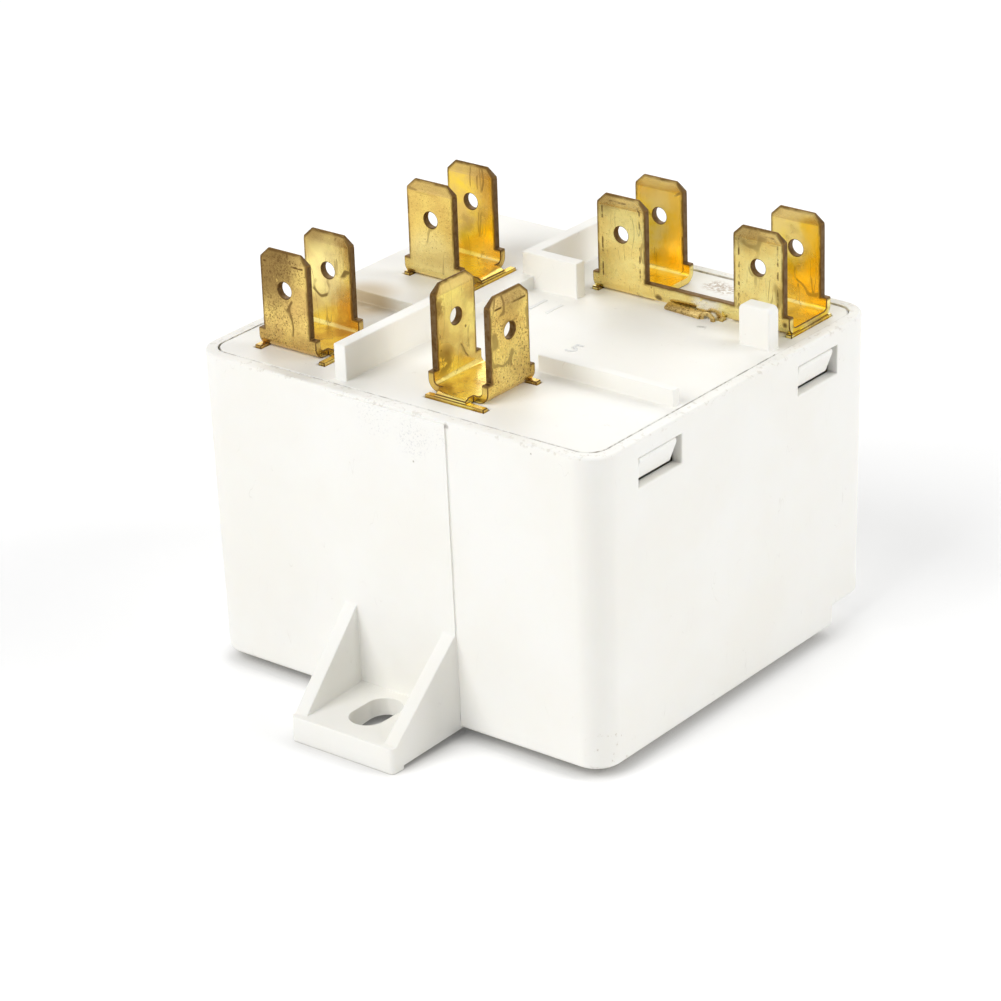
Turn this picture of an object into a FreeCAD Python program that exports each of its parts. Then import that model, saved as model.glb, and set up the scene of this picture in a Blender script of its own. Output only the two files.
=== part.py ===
import FreeCAD, Part
import math
import os
import re

import Sketcher

# Potential start relay for a compressor motor.
# Own frame: origin on the floor under the middle of the case, +Z up, front face towards -Y, millimetres.

os.makedirs("parts", exist_ok=True)
doc = FreeCAD.newDocument("StartRelay")
sheet = doc.addObject("Spreadsheet::Sheet", "Sizes")
Vector = FreeCAD.Vector

# Case
case_length = 52.87
case_depth = 49.05
case_height = 34.74
standoff = 1.12
draft_run = 0.55
wall = 1.3
corner_radius = 3.49
bottom_round = 0.5
rim_round = 0.3
rebate_depth = 7.09
rebate_height = 2.48
window_width = 7.3
window_height = 3.27
window_bottom = 30.68
window_offset = 13.95
support_width = 1.64
support_reach = 1.64
support_offset = 11.12
cradle_height = 1.64
cradle_thick = 1.31
pad_radius = 2.18
pad_x = 18.53
pad_y = 13.08
overlap = 0.4
# Front band and foot
foot_x = 0.22
band_width = 14.72
band_proud = 0.22
foot_reach = 10.46
foot_tip_width = 13.52
foot_thick = 1.83
lip_depth = 1.74
lip_step = 0.5
gusset_thick = 1.64
gusset_rise = 10.98
gusset_setback = 0.65
slot_width = 4.03
slot_length = 6.54
slot_y = -28.78
# Cover
cover_thick = 2.18
cover_gap = 0.15
ledge_y = 8.23
ledge_drop = 0.15
plateau_front = -4.25
plateau_right = -7.25
plateau_height = 1.31
barrier_thick = 1.53
barrier_front = -22.18
barrier_height = 3.92
corner_wall_right = -1.47
corner_wall_front = 9.27
corner_wall_height = 3.87
rib_left = 7.36
rib_right = 24.47
rib_front = -9.05
rib_thick = 1.09
rib_height = 1.85
post_left = 20.33
post_right = 24.14
post_thick = 1.8
post_height = 4.58
post_round = 0.65
hook_thick = 1.31
hook_width = 6.32
hook_shift = 0.44
hook_drop = 2.73
hook_gap = 0.1
hook_recess = 0.87
hold_gap = 0.05
# Terminals
brass = 0.8
tab_width = 6.35
tab_top = 11.23
tab_span = 7.73
tab_tip = 1.0
tab_bevel = 0.2
tab_hole_radius = 0.9
tab_hole_drop = 4.25
shoulder_half = 3.9
shoulder_height = 2.13
bend_outer = 1.3
bend_inner = 0.5
leg_reach = 4.1
leg_out = 5.4
leg_width = 7.55
leg_lean = 0.62
leg_top = 0.27
leg_drop = 5.67
slot_clear = 0.1
spare_x = -17.29
front_y = -15.81
contact_x = -15.43
contact_y = 6.0
coil_tab_x = 5.01
coil_tab_y = -15.3
common_left_x = 1.95
common_right_x = 19.66
common_y = 16.68
mid_leg_x = 13.35
mid_leg_width = 3.27
# Magnet
coil_x = 4.91
coil_y = -1.09
steel = 1.6
yoke_width = 14.17
yoke_left = -4.36
yoke_right = 18.53
yoke_top = 21.58
yoke_bend = 2.18
ear_bottom = 14.72
ear_top = 18.53
ear_reach = 2.07
core_radius = 3.82
tenon_radius = 2.4
fit_gap = 0.05
pole_radius = 5.34
pole_face = 21.36
pole_thick = 1.2
ring_inner = 3.16
ring_outer = 4.14
ring_depth = 0.87
bobbin_radius = 10.14
bobbin_flange = 1.09
bobbin_bottom = 4.28
tube_radius = 5.01
winding_radius = 9.16
tape_thick = 0.27
lug_width = 9.81
lug_front = -15.48
lug_back = -8.72
lug_thick = 2.18
pin_y = -14.17
pin_half = 2.18
pin_radius = 0.44
pin_bottom = 15.91
pin_top = 23.33
lead_radius = 0.38
solder_radius = 0.82
solder_length = 1.53
# Armature and contact carrier
rest_angle = 5.0
armature_thick = 1.3
armature_width = 13.08
armature_left = -10.9
armature_nose = 7.63
armature_neck = -4.36
armature_tail = 1.31
carrier_left = -15.91
carrier_right = -6.32
carrier_width = 6.54
carrier_thick = 1.74
stake_x = -8.28
stake_half = 1.96
stake_radius = 0.76
stake_head = 1.2
stake_rise = 0.55
carrier_post_x = -13.3
carrier_post_radius = 0.98
carrier_post_rise = 2.56
carrier_head_radius = 1.74
carrier_head_thick = 0.65
bridge_x = -12.86
bridge_width = 3.92
bridge_length = 15.91
bridge_bottom = 25.72
bridge_thick = 0.87
bridge_hole_radius = 1.47
contact_half = 6.0
contact_radius = 1.64
moving_height = 0.87
fixed_height = 0.95
contact_bevel = 0.3
strip_bottom = 28.45
leaf_thick = 0.2
leaf_width = 2.83
leaf_half = 5.23
leaf_bottom = 24.53
leaf_hole_radius = 1.31
# Strips between terminals and fixed contacts
strip_rise = 4.36
contact_strip_left = -15.7
contact_strip_front = 2.18
contact_strip_back = 7.63
common_strip_right = 4.14
common_strip_lead = -7.19
common_strip_side = -7.41
common_strip_front = -10.03
common_strip_inner = -3.27
common_strip_end = -15.48
common_strip_notch = -4.58
common_strip_near = 12.43
common_strip_far = 16.35
# Return spring
spring_x = -3.38
spring_radius = 1.31
spring_wire = 0.18
spring_top = 23.27
spring_turns = 4.0
spring_seat_radius = 0.87
spring_seat_height = 0.76
# Armature retainer
retainer_thick = 0.65
retainer_width = 6.54
retainer_bottom = 9.16
retainer_step = 17.88
retainer_jog = 2.07
retainer_top = 23.22
retainer_lip = 1.74
screw_low = 11.55
screw_high = 15.48
screw_radius = 0.93
screw_head_radius = 1.64
screw_head_height = 0.98
screw_slot = 0.44
sizes = {name: value for name, value in globals().items() if isinstance(value, float)}
row_count = 0


def size(alias, value):
    """Write one named size into the sheet."""
    global row_count
    row_count += 1
    sheet.set("A%d" % row_count, alias)
    sheet.set("B%d" % row_count, str(value))
    sheet.setAlias("B%d" % row_count, alias)


for name, value in sizes.items():
    size(name, value)
doc.recompute()


def bound(text):
    """Return a size expression with every name read from the sheet."""
    words = ("cos", "sin", "tan", "atan", "sqrt")

    def swap(match):
        word = match.group(0)
        return word if word in words else "Sizes." + word

    return re.sub(r"[a-z][a-z_]*", swap, str(text))


def val(text):
    """Return the present value of a size expression."""
    return float(sheet.evalExpression(str(text)))


def origin_plane(body, role):
    """Return one of the body's own origin planes."""
    for item in body.Origin.OriginFeatures:
        if item.Role == role:
            return item
    raise RuntimeError("missing plane " + role)


def new_body(label):
    """Start a named body."""
    body = doc.addObject("PartDesign::Body", label)
    body.Label = label
    return body


def new_sketch(body, plane, offset):
    """Start a sketch on the body's own plane at a place along the plane's world axis."""
    sketch = body.newObject("Sketcher::SketchObject", body.Label + "_sketch")
    sketch.AttachmentSupport = (origin_plane(body, plane + "_Plane"), [""])
    sketch.MapMode = "FlatFace"
    sign = "-1 * " if plane == "XZ" else ""
    sketch.setExpression("AttachmentOffset.Base.z", sign + "(" + bound(offset) + ")")
    return sketch


def tie(sketch, kind, geometry, position, text):
    """Bind one coordinate of a point to a size expression."""
    index = sketch.addConstraint(Sketcher.Constraint(kind, -1, 1, geometry, position, val(text)))
    sketch.setExpression("Constraints[%d]" % index, bound(text))


def draw_polygon(sketch, points):
    """Draw a closed outline whose corners are bound to size expressions."""
    first = sketch.GeometryCount
    places = [Vector(val(x), val(y), 0) for x, y in points]
    count = len(points)
    for index in range(count):
        line = Part.LineSegment(places[index], places[(index + 1) % count])
        sketch.addGeometry(line, False)
    for index in range(count):
        following = first + (index + 1) % count
        sketch.addConstraint(Sketcher.Constraint("Coincident", first + index, 2, following, 1))
    for index, (x, y) in enumerate(points):
        tie(sketch, "DistanceX", first + index, 1, x)
        tie(sketch, "DistanceY", first + index, 1, y)


def draw_circle(sketch, x, y, radius):
    """Draw a circle bound to size expressions."""
    circle = Part.Circle(Vector(val(x), val(y), 0), Vector(0, 0, 1), val(radius))
    geometry = sketch.addGeometry(circle, False)
    tie(sketch, "DistanceX", geometry, 3, x)
    tie(sketch, "DistanceY", geometry, 3, y)
    index = sketch.addConstraint(Sketcher.Constraint("Radius", geometry, val(radius)))
    sketch.setExpression("Constraints[%d]" % index, bound(radius))


def draw_obround(sketch, x, y, width, length):
    """Draw a round-ended slot along the sketch's second axis."""
    radius = val(width) / 2
    reach = (val(length) - val(width)) / 2
    low = Vector(val(x), val(y) - reach, 0)
    high = Vector(val(x), val(y) + reach, 0)
    side = Vector(radius, 0, 0)
    top = Part.ArcOfCircle(Part.Circle(high, Vector(0, 0, 1), radius), 0, math.pi)
    bottom = Part.ArcOfCircle(Part.Circle(low, Vector(0, 0, 1), radius), math.pi, 2 * math.pi)
    sketch.addGeometry(top, False)
    sketch.addGeometry(Part.LineSegment(high - side, low - side), False)
    sketch.addGeometry(bottom, False)
    sketch.addGeometry(Part.LineSegment(low + side, high + side), False)
    for index in range(4):
        sketch.addConstraint(Sketcher.Constraint("Tangent", index, 2, (index + 1) % 4, 1))
    for geometry, sign in ((0, "+"), (2, "-")):
        tie(sketch, "DistanceX", geometry, 3, x)
        tie(sketch, "DistanceY", geometry, 3, "%s %s (%s - %s) / 2" % (y, sign, length, width))
    index = sketch.addConstraint(Sketcher.Constraint("Radius", 0, radius))
    sketch.setExpression("Constraints[%d]" % index, bound("(%s) / 2" % width))


def prism(body, plane, low, high, shapes, cut=False, taper=None):
    """Add or cut a prism between two places along the plane's world axis."""
    start = high if plane == "XZ" else low
    sketch = new_sketch(body, plane, start)
    for shape in shapes:
        if shape[0] == "circle":
            draw_circle(sketch, *shape[1:])
        elif shape[0] == "obround":
            draw_obround(sketch, *shape[1:])
        else:
            draw_polygon(sketch, shape)
    kind = "PartDesign::Pocket" if cut else "PartDesign::Pad"
    feature = body.newObject(kind, body.Label + "_prism")
    feature.Profile = sketch
    feature.Reversed = cut
    feature.setExpression("Length", bound("(%s) - (%s)" % (high, low)))
    if taper:
        feature.setExpression("TaperAngle", bound(taper))
    return feature


def box(x_low, x_high, y_low, y_high):
    """Return the corner list of a rectangle."""
    return [(x_low, y_low), (x_high, y_low), (x_high, y_high), (x_low, y_high)]


def straight_edges(shape, axis, spots, tolerance=0.35):
    """Name the straight edges along an axis that pass near the given spots in the other two axes."""
    names = []
    keep = [index for index in range(3) if index != axis]
    for number, edge in enumerate(shape.Edges, 1):
        if len(edge.Vertexes) < 2:
            continue
        chord = edge.lastVertex().Point - edge.firstVertex().Point
        if chord.Length < 0.999 * edge.Length or abs(chord[axis]) < 0.99 * chord.Length:
            continue
        middle = edge.CenterOfMass
        for spot in spots:
            gap = max(abs(middle[keep[0]] - spot[0]), abs(middle[keep[1]] - spot[1]))
            if gap < tolerance:
                names.append("Edge%d" % number)
                break
    return names


def dress(body, kind, names, amount):
    """Round or chamfer named edges of the body's present shape."""
    if not names:
        raise RuntimeError("no edges for " + body.Label)
    base = body.Tip
    feature = body.newObject("PartDesign::" + kind, body.Label + "_" + kind.lower())
    feature.Base = (base, names)
    body.Tip = feature
    feature.setExpression("Radius" if kind == "Fillet" else "Size", bound(amount))
    doc.recompute()
    return feature


def round_edges(body, axis, spots, amount, tolerance=0.35, kind="Fillet"):
    """Round the straight edges found near the given spots."""
    doc.recompute()
    names = straight_edges(body.Tip.Shape, axis, spots, tolerance)
    return dress(body, kind, names, amount)


# Heights that several pieces share
RIM = "standoff + case_height"
SEAT = "(standoff + case_height)"
UNDERSIDE = "(standoff + case_height - cover_thick)"
FLOOR = "(standoff + wall)"
HALF_X = "case_length / 2"
HALF_Y = "case_depth / 2"
SLOPE = "draft_run / case_height"

# Case: a box whose rounded sides are drafted inwards below the rim
case = new_body("case")
low_x = "case_length / 2 - draft_run"
low_y = "case_depth / 2 - draft_run"
prism(case, "XY", "standoff", RIM, [box("-" + HALF_X, HALF_X, "-" + HALF_Y, HALF_Y)])
corners = [(sx * val(HALF_X), sy * val(HALF_Y)) for sx in (-1, 1) for sy in (-1, 1)]
round_edges(case, 2, corners, "corner_radius", 1.0)
solid = case.Tip
sides = []
for number, face in enumerate(solid.Shape.Faces, 1):
    if face.BoundBox.ZLength > val("case_height") / 2:
        sides.append("Face%d" % number)
    elif face.CenterOfMass.z > val("case_height"):
        rim_face = "Face%d" % number
draft = case.newObject("PartDesign::Draft", "case_draft")
draft.Base = (solid, sides)
draft.NeutralPlane = (solid, [rim_face])
draft.Reversed = True
draft.setExpression("Angle", "atan(Sizes.draft_run / Sizes.case_height)")
case.Tip = draft
doc.recompute()
rebate_y = "case_depth / 2 - rebate_depth"
prism(case, "YZ", "-case_length / 2", HALF_X,
      [box(rebate_y, "case_depth / 2 + 1", "0", "standoff + rebate_height")], cut=True)
doc.recompute()
top_face = None
for number, face in enumerate(case.Tip.Shape.Faces, 1):
    if abs(face.CenterOfMass.z - val(RIM)) < 0.001:
        top_face = "Face%d" % number
solid = case.Tip
hollow = case.newObject("PartDesign::Thickness", "case_hollow")
hollow.Base = (solid, [top_face])
hollow.Mode = 0
hollow.Join = 0
hollow.Reversed = True
hollow.setExpression("Value", "Sizes.wall")
case.Tip = hollow
doc.recompute()

names = []
for number, edge in enumerate(case.Tip.Shape.Edges, 1):
    box_z = edge.BoundBox
    flat = abs(box_z.ZMax - box_z.ZMin) < 0.001
    outside = max(abs(edge.CenterOfMass.x) - val(low_x), abs(edge.CenterOfMass.y) - val(low_y)) > -1.3
    if flat and outside and abs(box_z.ZMin - val("standoff")) < 0.001:
        names.append("Edge%d" % number)
dress(case, "Fillet", names, "bottom_round")

names = []
for number, edge in enumerate(case.Tip.Shape.Edges, 1):
    bounds = edge.BoundBox
    level = abs(bounds.ZMin - val(RIM)) < 0.001 and abs(bounds.ZMax - val(RIM)) < 0.001
    middle = edge.CenterOfMass
    radial = max(abs(middle.x) / val(HALF_X), abs(middle.y) / val(HALF_Y))
    if level and (radial > 0.985 or edge.Length > 0.85 * math.pi / 2 * val("corner_radius")
                  and radial < 0.985 and min(bounds.XLength, bounds.YLength) > 0.1):
        names.append("Edge%d" % number)
dress(case, "Fillet", names, "rim_round")

# Supports that carry the cover, standing on the inside of the walls
inside_x = "(case_length / 2 - wall)"
inside_y = "(case_depth / 2 - wall)"
shapes = []
for sign in ("-", ""):
    across = [sign + "support_offset - support_width / 2", sign + "support_offset + support_width / 2"]
    for face in (-1, 1):
        near = "%d * (%s - draft_run - support_reach)" % (face, inside_y)
        far = "%d * (%s + overlap)" % (face, inside_y)
        shapes.append(box(across[0], across[1], *((far, near) if face < 0 else (near, far))))
prism(case, "XY", "standoff + rebate_height + wall / 2", UNDERSIDE, shapes)
prism(case, "XY", "standoff + wall / 2", UNDERSIDE,
      [box("-%s - overlap" % inside_x, "-%s + draft_run + support_reach" % inside_x,
           "-support_width / 2", "support_width / 2"),
       box("%s - draft_run - support_reach" % inside_x, "%s + overlap" % inside_x,
           "-support_width / 2", "support_width / 2")])
# Low ribs that locate the magnet
cradle = []
for sign in ("-", "+"):
    middle = "coil_y %s (yoke_width / 2 + fit_gap + cradle_thick / 2)" % sign
    cradle.append(box("yoke_left", "yoke_right - yoke_bend", middle + " - cradle_thick / 2",
                      middle + " + cradle_thick / 2"))
prism(case, "XY", "standoff + wall / 2", FLOOR + " + cradle_height", cradle)

# Windows for the snap hooks, through both side walls
windows = []
for sign in ("-", ""):
    windows.append(box(sign + "window_offset - window_width / 2", sign + "window_offset + window_width / 2",
                       "window_bottom", "window_bottom + window_height"))
prism(case, "YZ", HALF_X + " - wall - overlap", HALF_X + " + overlap", windows, cut=True)
prism(case, "YZ", "-case_length / 2 - overlap", "-case_length / 2 + wall + overlap", windows, cut=True)

# Foot with its lip, gussets and slot
face_y = "(-case_depth / 2 + draft_run)"
tip_y = "(%s - foot_reach)" % face_y
root_y = "(%s + wall / 2)" % face_y
flare = "(band_width - foot_tip_width) / 2 / foot_reach"


def foot_side(sign, inset, y):
    """Return the foot's side position at a depth."""
    return "foot_x %s (foot_tip_width / 2 - (%s) + (%s) * ((%s) - %s))" % (sign, inset, flare, y, tip_y)


def foot_plan(start, end, inset_low, inset_high, sign):
    """Return a flared strip of the foot between two insets from its side."""
    return [(foot_side(sign, inset_low, start), start), (foot_side(sign, inset_high, start), start),
            (foot_side(sign, inset_high, end), end), (foot_side(sign, inset_low, end), end)]


plate = [(foot_side("-", "0", tip_y), tip_y), (foot_side("+", "0", tip_y), tip_y),
         (foot_side("+", "0", root_y), root_y), (foot_side("-", "0", root_y), root_y)]
lip_y = tip_y + " + lip_depth"
prism(case, "XY", "0", "standoff + foot_thick", [plate])
prism(case, "YZ", "foot_x - band_width", "foot_x + band_width",
      [[(lip_y, "-1"), (root_y + " + 1", "-1"), (root_y + " + 1", "standoff"), (root_y, "standoff"),
        (lip_y, "lip_step")]], cut=True)
gusset_y = "(%s + gusset_setback)" % tip_y
prism(case, "XY", "standoff + foot_thick / 2", "standoff + gusset_rise",
      [foot_plan(gusset_y, root_y, "0", "gusset_thick", "-"),
       foot_plan(gusset_y, root_y, "0", "gusset_thick", "+")])
slope_y = "(%s - %s * gusset_rise)" % (face_y, SLOPE)
prism(case, "YZ", "foot_x - band_width", "foot_x + band_width",
      [[(tip_y + " - 1", "standoff + foot_thick"), (gusset_y, "standoff + foot_thick"),
        (slope_y, "standoff + gusset_rise"), (slope_y, "standoff + gusset_rise + 1"),
        (tip_y + " - 1", "standoff + gusset_rise + 1")]], cut=True)
tips = [(val(foot_side(s, "0", tip_y)), val(tip_y)) for s in ("-", "+")]
round_edges(case, 2, tips, "bottom_round", 0.3)
prism(case, "XY", "0", "standoff + foot_thick + 1",
      [("obround", "foot_x", "slot_y", "slot_width", "slot_length")], cut=True)

# Shallow band up the front
proud = "(%s - band_proud)" % face_y
prism(case, "YZ", "foot_x - band_width / 2", "foot_x + band_width / 2",
      [[(proud, "standoff + foot_thick / 2"), (face_y + " + overlap", "standoff + foot_thick / 2"),
        (face_y + " + overlap - draft_run", RIM + " - rim_round"),
        (proud + " - draft_run", RIM + " - rim_round")]])

# Hidden pads that level the underside with the foot's lip
prism(case, "XY", "0", "standoff + wall / 2",
      [("circle", "-pad_x", "pad_y", "pad_radius"), ("circle", "pad_x", "pad_y", "pad_radius"),
       ("circle", "0", "0", "pad_radius")])

# Cover
cover = new_body("cover")
plate_x = "(case_length / 2 - wall - cover_gap)"
plate_y = "(case_depth / 2 - wall - cover_gap)"
prism(cover, "XY", UNDERSIDE, RIM, [box("-" + plate_x, plate_x, "-" + plate_y, plate_y)])
corners = [(sx * val(plate_x), sy * val(plate_y)) for sx in (-1, 1) for sy in (-1, 1)]
round_edges(cover, 2, corners, "corner_radius - wall - cover_gap")
inner_x = "(%s - 1.2 * bend_inner)" % plate_x
inner_y = "(%s - 1.2 * bend_inner)" % plate_y
prism(cover, "XY", RIM + " - ledge_drop", RIM + " + 1",
      [box("-case_length", "case_length", "ledge_y", "case_depth")], cut=True)
prism(cover, "XY", UNDERSIDE + " + cover_thick / 2", RIM + " + plateau_height",
      [box("-" + inner_x, "plateau_right", "plateau_front", inner_y)])
wall_left = "plateau_right - barrier_thick"
prism(cover, "XY", UNDERSIDE + " + cover_thick / 2", RIM + " + barrier_height",
      [box(wall_left, "plateau_right", "barrier_front", "plateau_front + barrier_thick")])
prism(cover, "XY", UNDERSIDE + " + cover_thick / 2", RIM + " + corner_wall_height",
      [[(wall_left, "corner_wall_front"), ("corner_wall_right", "corner_wall_front"),
        ("corner_wall_right", "corner_wall_front + barrier_thick"),
        ("plateau_right", "corner_wall_front + barrier_thick"), ("plateau_right", inner_y),
        (wall_left, inner_y)]])
prism(cover, "XY", UNDERSIDE + " + cover_thick / 2", RIM + " + rib_height",
      [box("rib_left", "rib_right", "rib_front", "rib_front + rib_thick")])
prism(cover, "XY", UNDERSIDE + " + cover_thick / 2", RIM + " + post_height",
      [box("post_left", "post_right", "ledge_y", "ledge_y + post_thick")])
top = val(RIM + " + post_height")
round_edges(cover, 1, [(val("post_left"), top), (val("post_right"), top)], "post_round", 0.1)

# Snap hooks
hook_top = "(window_bottom + window_height - hook_gap)"
hook_base = "(%s - hook_drop)" % hook_top
outer_wall = "(case_length / 2 - draft_run * (standoff + case_height - %s) / case_height)" % hook_top
for sign in ("-", ""):
    for side in ("-", ""):
        middle = "%swindow_offset - hook_shift" % side
        arm_in = "(%s - hook_thick)" % plate_x
        outline = [(arm_in, hook_base), (outer_wall + " - hook_recess", hook_base),
                   (outer_wall, hook_top + " - hook_recess / 2"), (outer_wall, hook_top),
                   (plate_x, hook_top), (plate_x, UNDERSIDE + " + cover_thick / 2"),
                   (arm_in, UNDERSIDE + " + cover_thick / 2")]
        outline = [("%s1 * (%s)" % (sign, x), z) for x, z in outline]
        prism(cover, "XZ", middle + " - hook_width / 2", middle + " + hook_width / 2", [outline])

# Hold-down posts that press on the ears of the yoke
posts = []
for sign in ("-", "+"):
    near = "coil_y %s (yoke_width / 2 + fit_gap)" % sign
    far = "coil_y %s (yoke_width / 2 + ear_reach)" % sign
    posts.append(box("yoke_right - steel", "yoke_right", *((far, near) if sign == "-" else (near, far))))
prism(cover, "XY", "ear_top + hold_gap", UNDERSIDE + " + cover_thick / 2", posts)

# Slots for the terminal legs: those of the three turned terminals, then those of the coil terminal
slots = []
half_slot = "(leg_width / 2 + slot_clear)"
for x, y, sign, reach in (("spare_x", "front_y - leg_lean", "+", "leg_out"),
                          ("spare_x", "front_y - leg_lean", "-", "leg_reach"),
                          ("contact_x", "contact_y", "+", "leg_out"),
                          ("contact_x", "contact_y", "-", "leg_reach"),
                          ("common_left_x", "common_y", "-", "leg_reach"),
                          ("common_right_x", "common_y", "+", "leg_reach")):
    ends = ["%s %s (%s - brass - slot_clear)" % (x, sign, reach), "%s %s (%s + slot_clear)" % (x, sign, reach)]
    slots.append(box(*(ends if sign == "+" else ends[::-1]), "%s - %s" % (y, half_slot),
                     "%s + %s" % (y, half_slot)))
for sign, reach in (("+", "leg_reach"), ("-", "leg_out")):
    ends = ["coil_tab_y %s (%s - brass - slot_clear)" % (sign, reach),
            "coil_tab_y %s (%s + slot_clear)" % (sign, reach)]
    slots.append(box("coil_tab_x + leg_lean - %s" % half_slot, "coil_tab_x + leg_lean + %s" % half_slot,
                     *(ends if sign == "+" else ends[::-1])))
slots.append(box("mid_leg_x - mid_leg_width / 2 - slot_clear", "mid_leg_x + mid_leg_width / 2 + slot_clear",
                 "common_y - tab_span / 2 - slot_clear", "common_y - tab_span / 2 + brass + slot_clear"))
prism(cover, "XY", UNDERSIDE + " - slot_clear", RIM + " + plateau_height + 1", slots, cut=True)


# Terminals
def add_tabs(body, places, legs, lean):
    """Add a channel with two tabs at each place along Y, and a leg at each end."""
    first, last = places[0], places[-1]
    half = "tab_span / 2"
    inner = "(tab_span / 2 - brass)"
    outline = [("-(%s)" % half, "0"), (half, "0"), (half, "tab_top - tab_tip"),
               (half + " - tab_bevel", "tab_top"), (inner + " + tab_bevel", "tab_top"),
               (inner, "tab_top - tab_tip"), (inner, "brass"), ("-" + inner, "brass"),
               ("-" + inner, "tab_top - tab_tip"), ("-" + inner + " - tab_bevel", "tab_top"),
               ("-(%s) + tab_bevel" % half, "tab_top"), ("-(%s)" % half, "tab_top - tab_tip")]
    prism(body, "XZ", first + " - shoulder_half", last + " + shoulder_half", [outline])
    round_edges(body, 1, [(-val(half), 0), (val(half), 0)], "bend_outer", 0.1)
    spots = [(-val(inner), val("brass")), (val(inner), val("brass"))]
    round_edges(body, 1, spots, "bend_inner", 0.1)
    low = "-tab_span / 2 - overlap"
    high = "tab_span / 2 + overlap"
    middle = "((%s) + (%s)) / 2" % (first, last)
    for place_y in places:
        for sign in ("-", "+"):
            outside = (sign == "-") == (place_y == first) or len(places) == 1
            limit = "%s %s 2 * tab_width" % (place_y, sign) if outside else middle
            edge = "%s %s tab_width / 2" % (place_y, sign)
            bevel = "%s %s (tab_width / 2 - tab_tip)" % (place_y, sign)
            prism(body, "YZ", low, high,
                  [[(edge, "shoulder_height"), (limit, "shoulder_height"), (limit, "tab_top + 1"),
                    (bevel, "tab_top + 1"), (bevel, "tab_top"), (edge, "tab_top - tab_tip")]], cut=True)
        prism(body, "YZ", low, high,
              [("circle", place_y, "tab_top - tab_hole_drop", "tab_hole_radius")], cut=True)
    narrow = "(leg_width / 2 - bend_outer - bend_inner)"
    for place_y, sign, (reach, drop) in ((first, "-", legs[0]), (last, "+", legs[1])):
        near = "%s %s (%s - brass)" % (place_y, sign, reach)
        far = "%s %s %s" % (place_y, sign, reach)
        base = "%s %s (leg_reach - 3 * brass)" % (place_y, sign)
        prism(body, "YZ", "%s - leg_width / 2" % lean, "%s + leg_width / 2" % lean,
              [[(near, "-(%s)" % drop), (far, "-(%s)" % drop), (far, "leg_top"), (near, "leg_top")]])
        prism(body, "YZ", "-" + narrow, narrow,
              [[(base, "0"), (far, "0"), ("%s %s (%s - brass / 4)" % (place_y, sign, reach), "0.6 * brass"),
                (near, "brass"), (base, "brass")]])


def place(body, x, y, z, turn=0.0):
    """Put a body at a place in the relay, with a turn about Z in degrees."""
    body.setExpression("Placement.Base.x", bound(x))
    body.setExpression("Placement.Base.y", bound(y))
    body.setExpression("Placement.Base.z", bound(z))
    body.Placement.Rotation = FreeCAD.Rotation(Vector(0, 0, 1), turn)


through = "cover_thick - ledge_drop"
for label, x, y, z, turn, lean in (
        ("terminal_spare", "spare_x", "front_y", RIM, 90.0, "-leg_lean"),
        ("terminal_contact", "contact_x", "contact_y", RIM + " + plateau_height", 90.0, "0"),
        ("terminal_coil", "coil_tab_x", "coil_tab_y", RIM, 0.0, "leg_lean")):
    terminal = new_body(label)
    add_tabs(terminal, ["0"], (("leg_out", "leg_drop"), ("leg_reach", "leg_drop")), lean)
    place(terminal, x, y, z, turn)

# The common terminal has two channels, the second at the right end; only their front wall joins them
terminal = new_body("terminal_common")
span = "(common_right_x - common_left_x)"
add_tabs(terminal, ["-" + span, "0"], (("leg_reach", through), ("leg_reach", "leg_drop")), "0")
prism(terminal, "XZ", "shoulder_half - " + span, "-shoulder_half",
      [box("brass - tab_span / 2", "tab_span / 2 + overlap", "-overlap", "tab_top + overlap")], cut=True)
mid_leg = "(common_left_x - mid_leg_x)"
prism(terminal, "YZ", "-tab_span / 2", "-tab_span / 2 + brass",
      [box("%s - mid_leg_width / 2" % mid_leg, "%s + mid_leg_width / 2" % mid_leg, "-(%s)" % through,
           "shoulder_height")])
place(terminal, "common_left_x", "common_y", RIM + " - ledge_drop", 90.0)

# Yoke: folded L with ears
yoke = new_body("yoke")
front = "coil_y - yoke_width / 2"
back = "coil_y + yoke_width / 2"
prism(yoke, "XZ", front, back,
      [[("yoke_left", FLOOR), ("yoke_right", FLOOR), ("yoke_right", "yoke_top"),
        ("yoke_right - steel", "yoke_top"), ("yoke_right - steel", FLOOR + " + steel"),
        ("yoke_left", FLOOR + " + steel")]])
round_edges(yoke, 1, [(val("yoke_right"), val(FLOOR))], "yoke_bend", 0.1)
round_edges(yoke, 1, [(val("yoke_right - steel"), val(FLOOR + " + steel"))], "yoke_bend - steel", 0.1)
prism(yoke, "XY", "ear_bottom", "ear_top",
      [box("yoke_right - steel", "yoke_right", front + " - ear_reach", back + " + ear_reach")])
prism(yoke, "XY", FLOOR, FLOOR + " + steel", [("circle", "coil_x", "coil_y", "tenon_radius + fit_gap")],
      cut=True)
holes = [("circle", "coil_y", "screw_low", "screw_radius + fit_gap"),
         ("circle", "coil_y", "screw_high", "screw_radius + fit_gap")]
prism(yoke, "YZ", "yoke_right - steel", "yoke_right", holes, cut=True)


def turned(label, axis_x, axis_y, outline):
    """Revolve an outline of radius and height pairs about a vertical axis."""
    body = new_body(label)
    sketch = new_sketch(body, "XZ", "0")
    draw_polygon(sketch, outline)
    feature = body.newObject("PartDesign::Revolution", label + "_turn")
    feature.Profile = sketch
    feature.ReferenceAxis = (sketch, ["V_Axis"])
    feature.Angle = 360
    place(body, axis_x, axis_y, "0")
    return body


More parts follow.
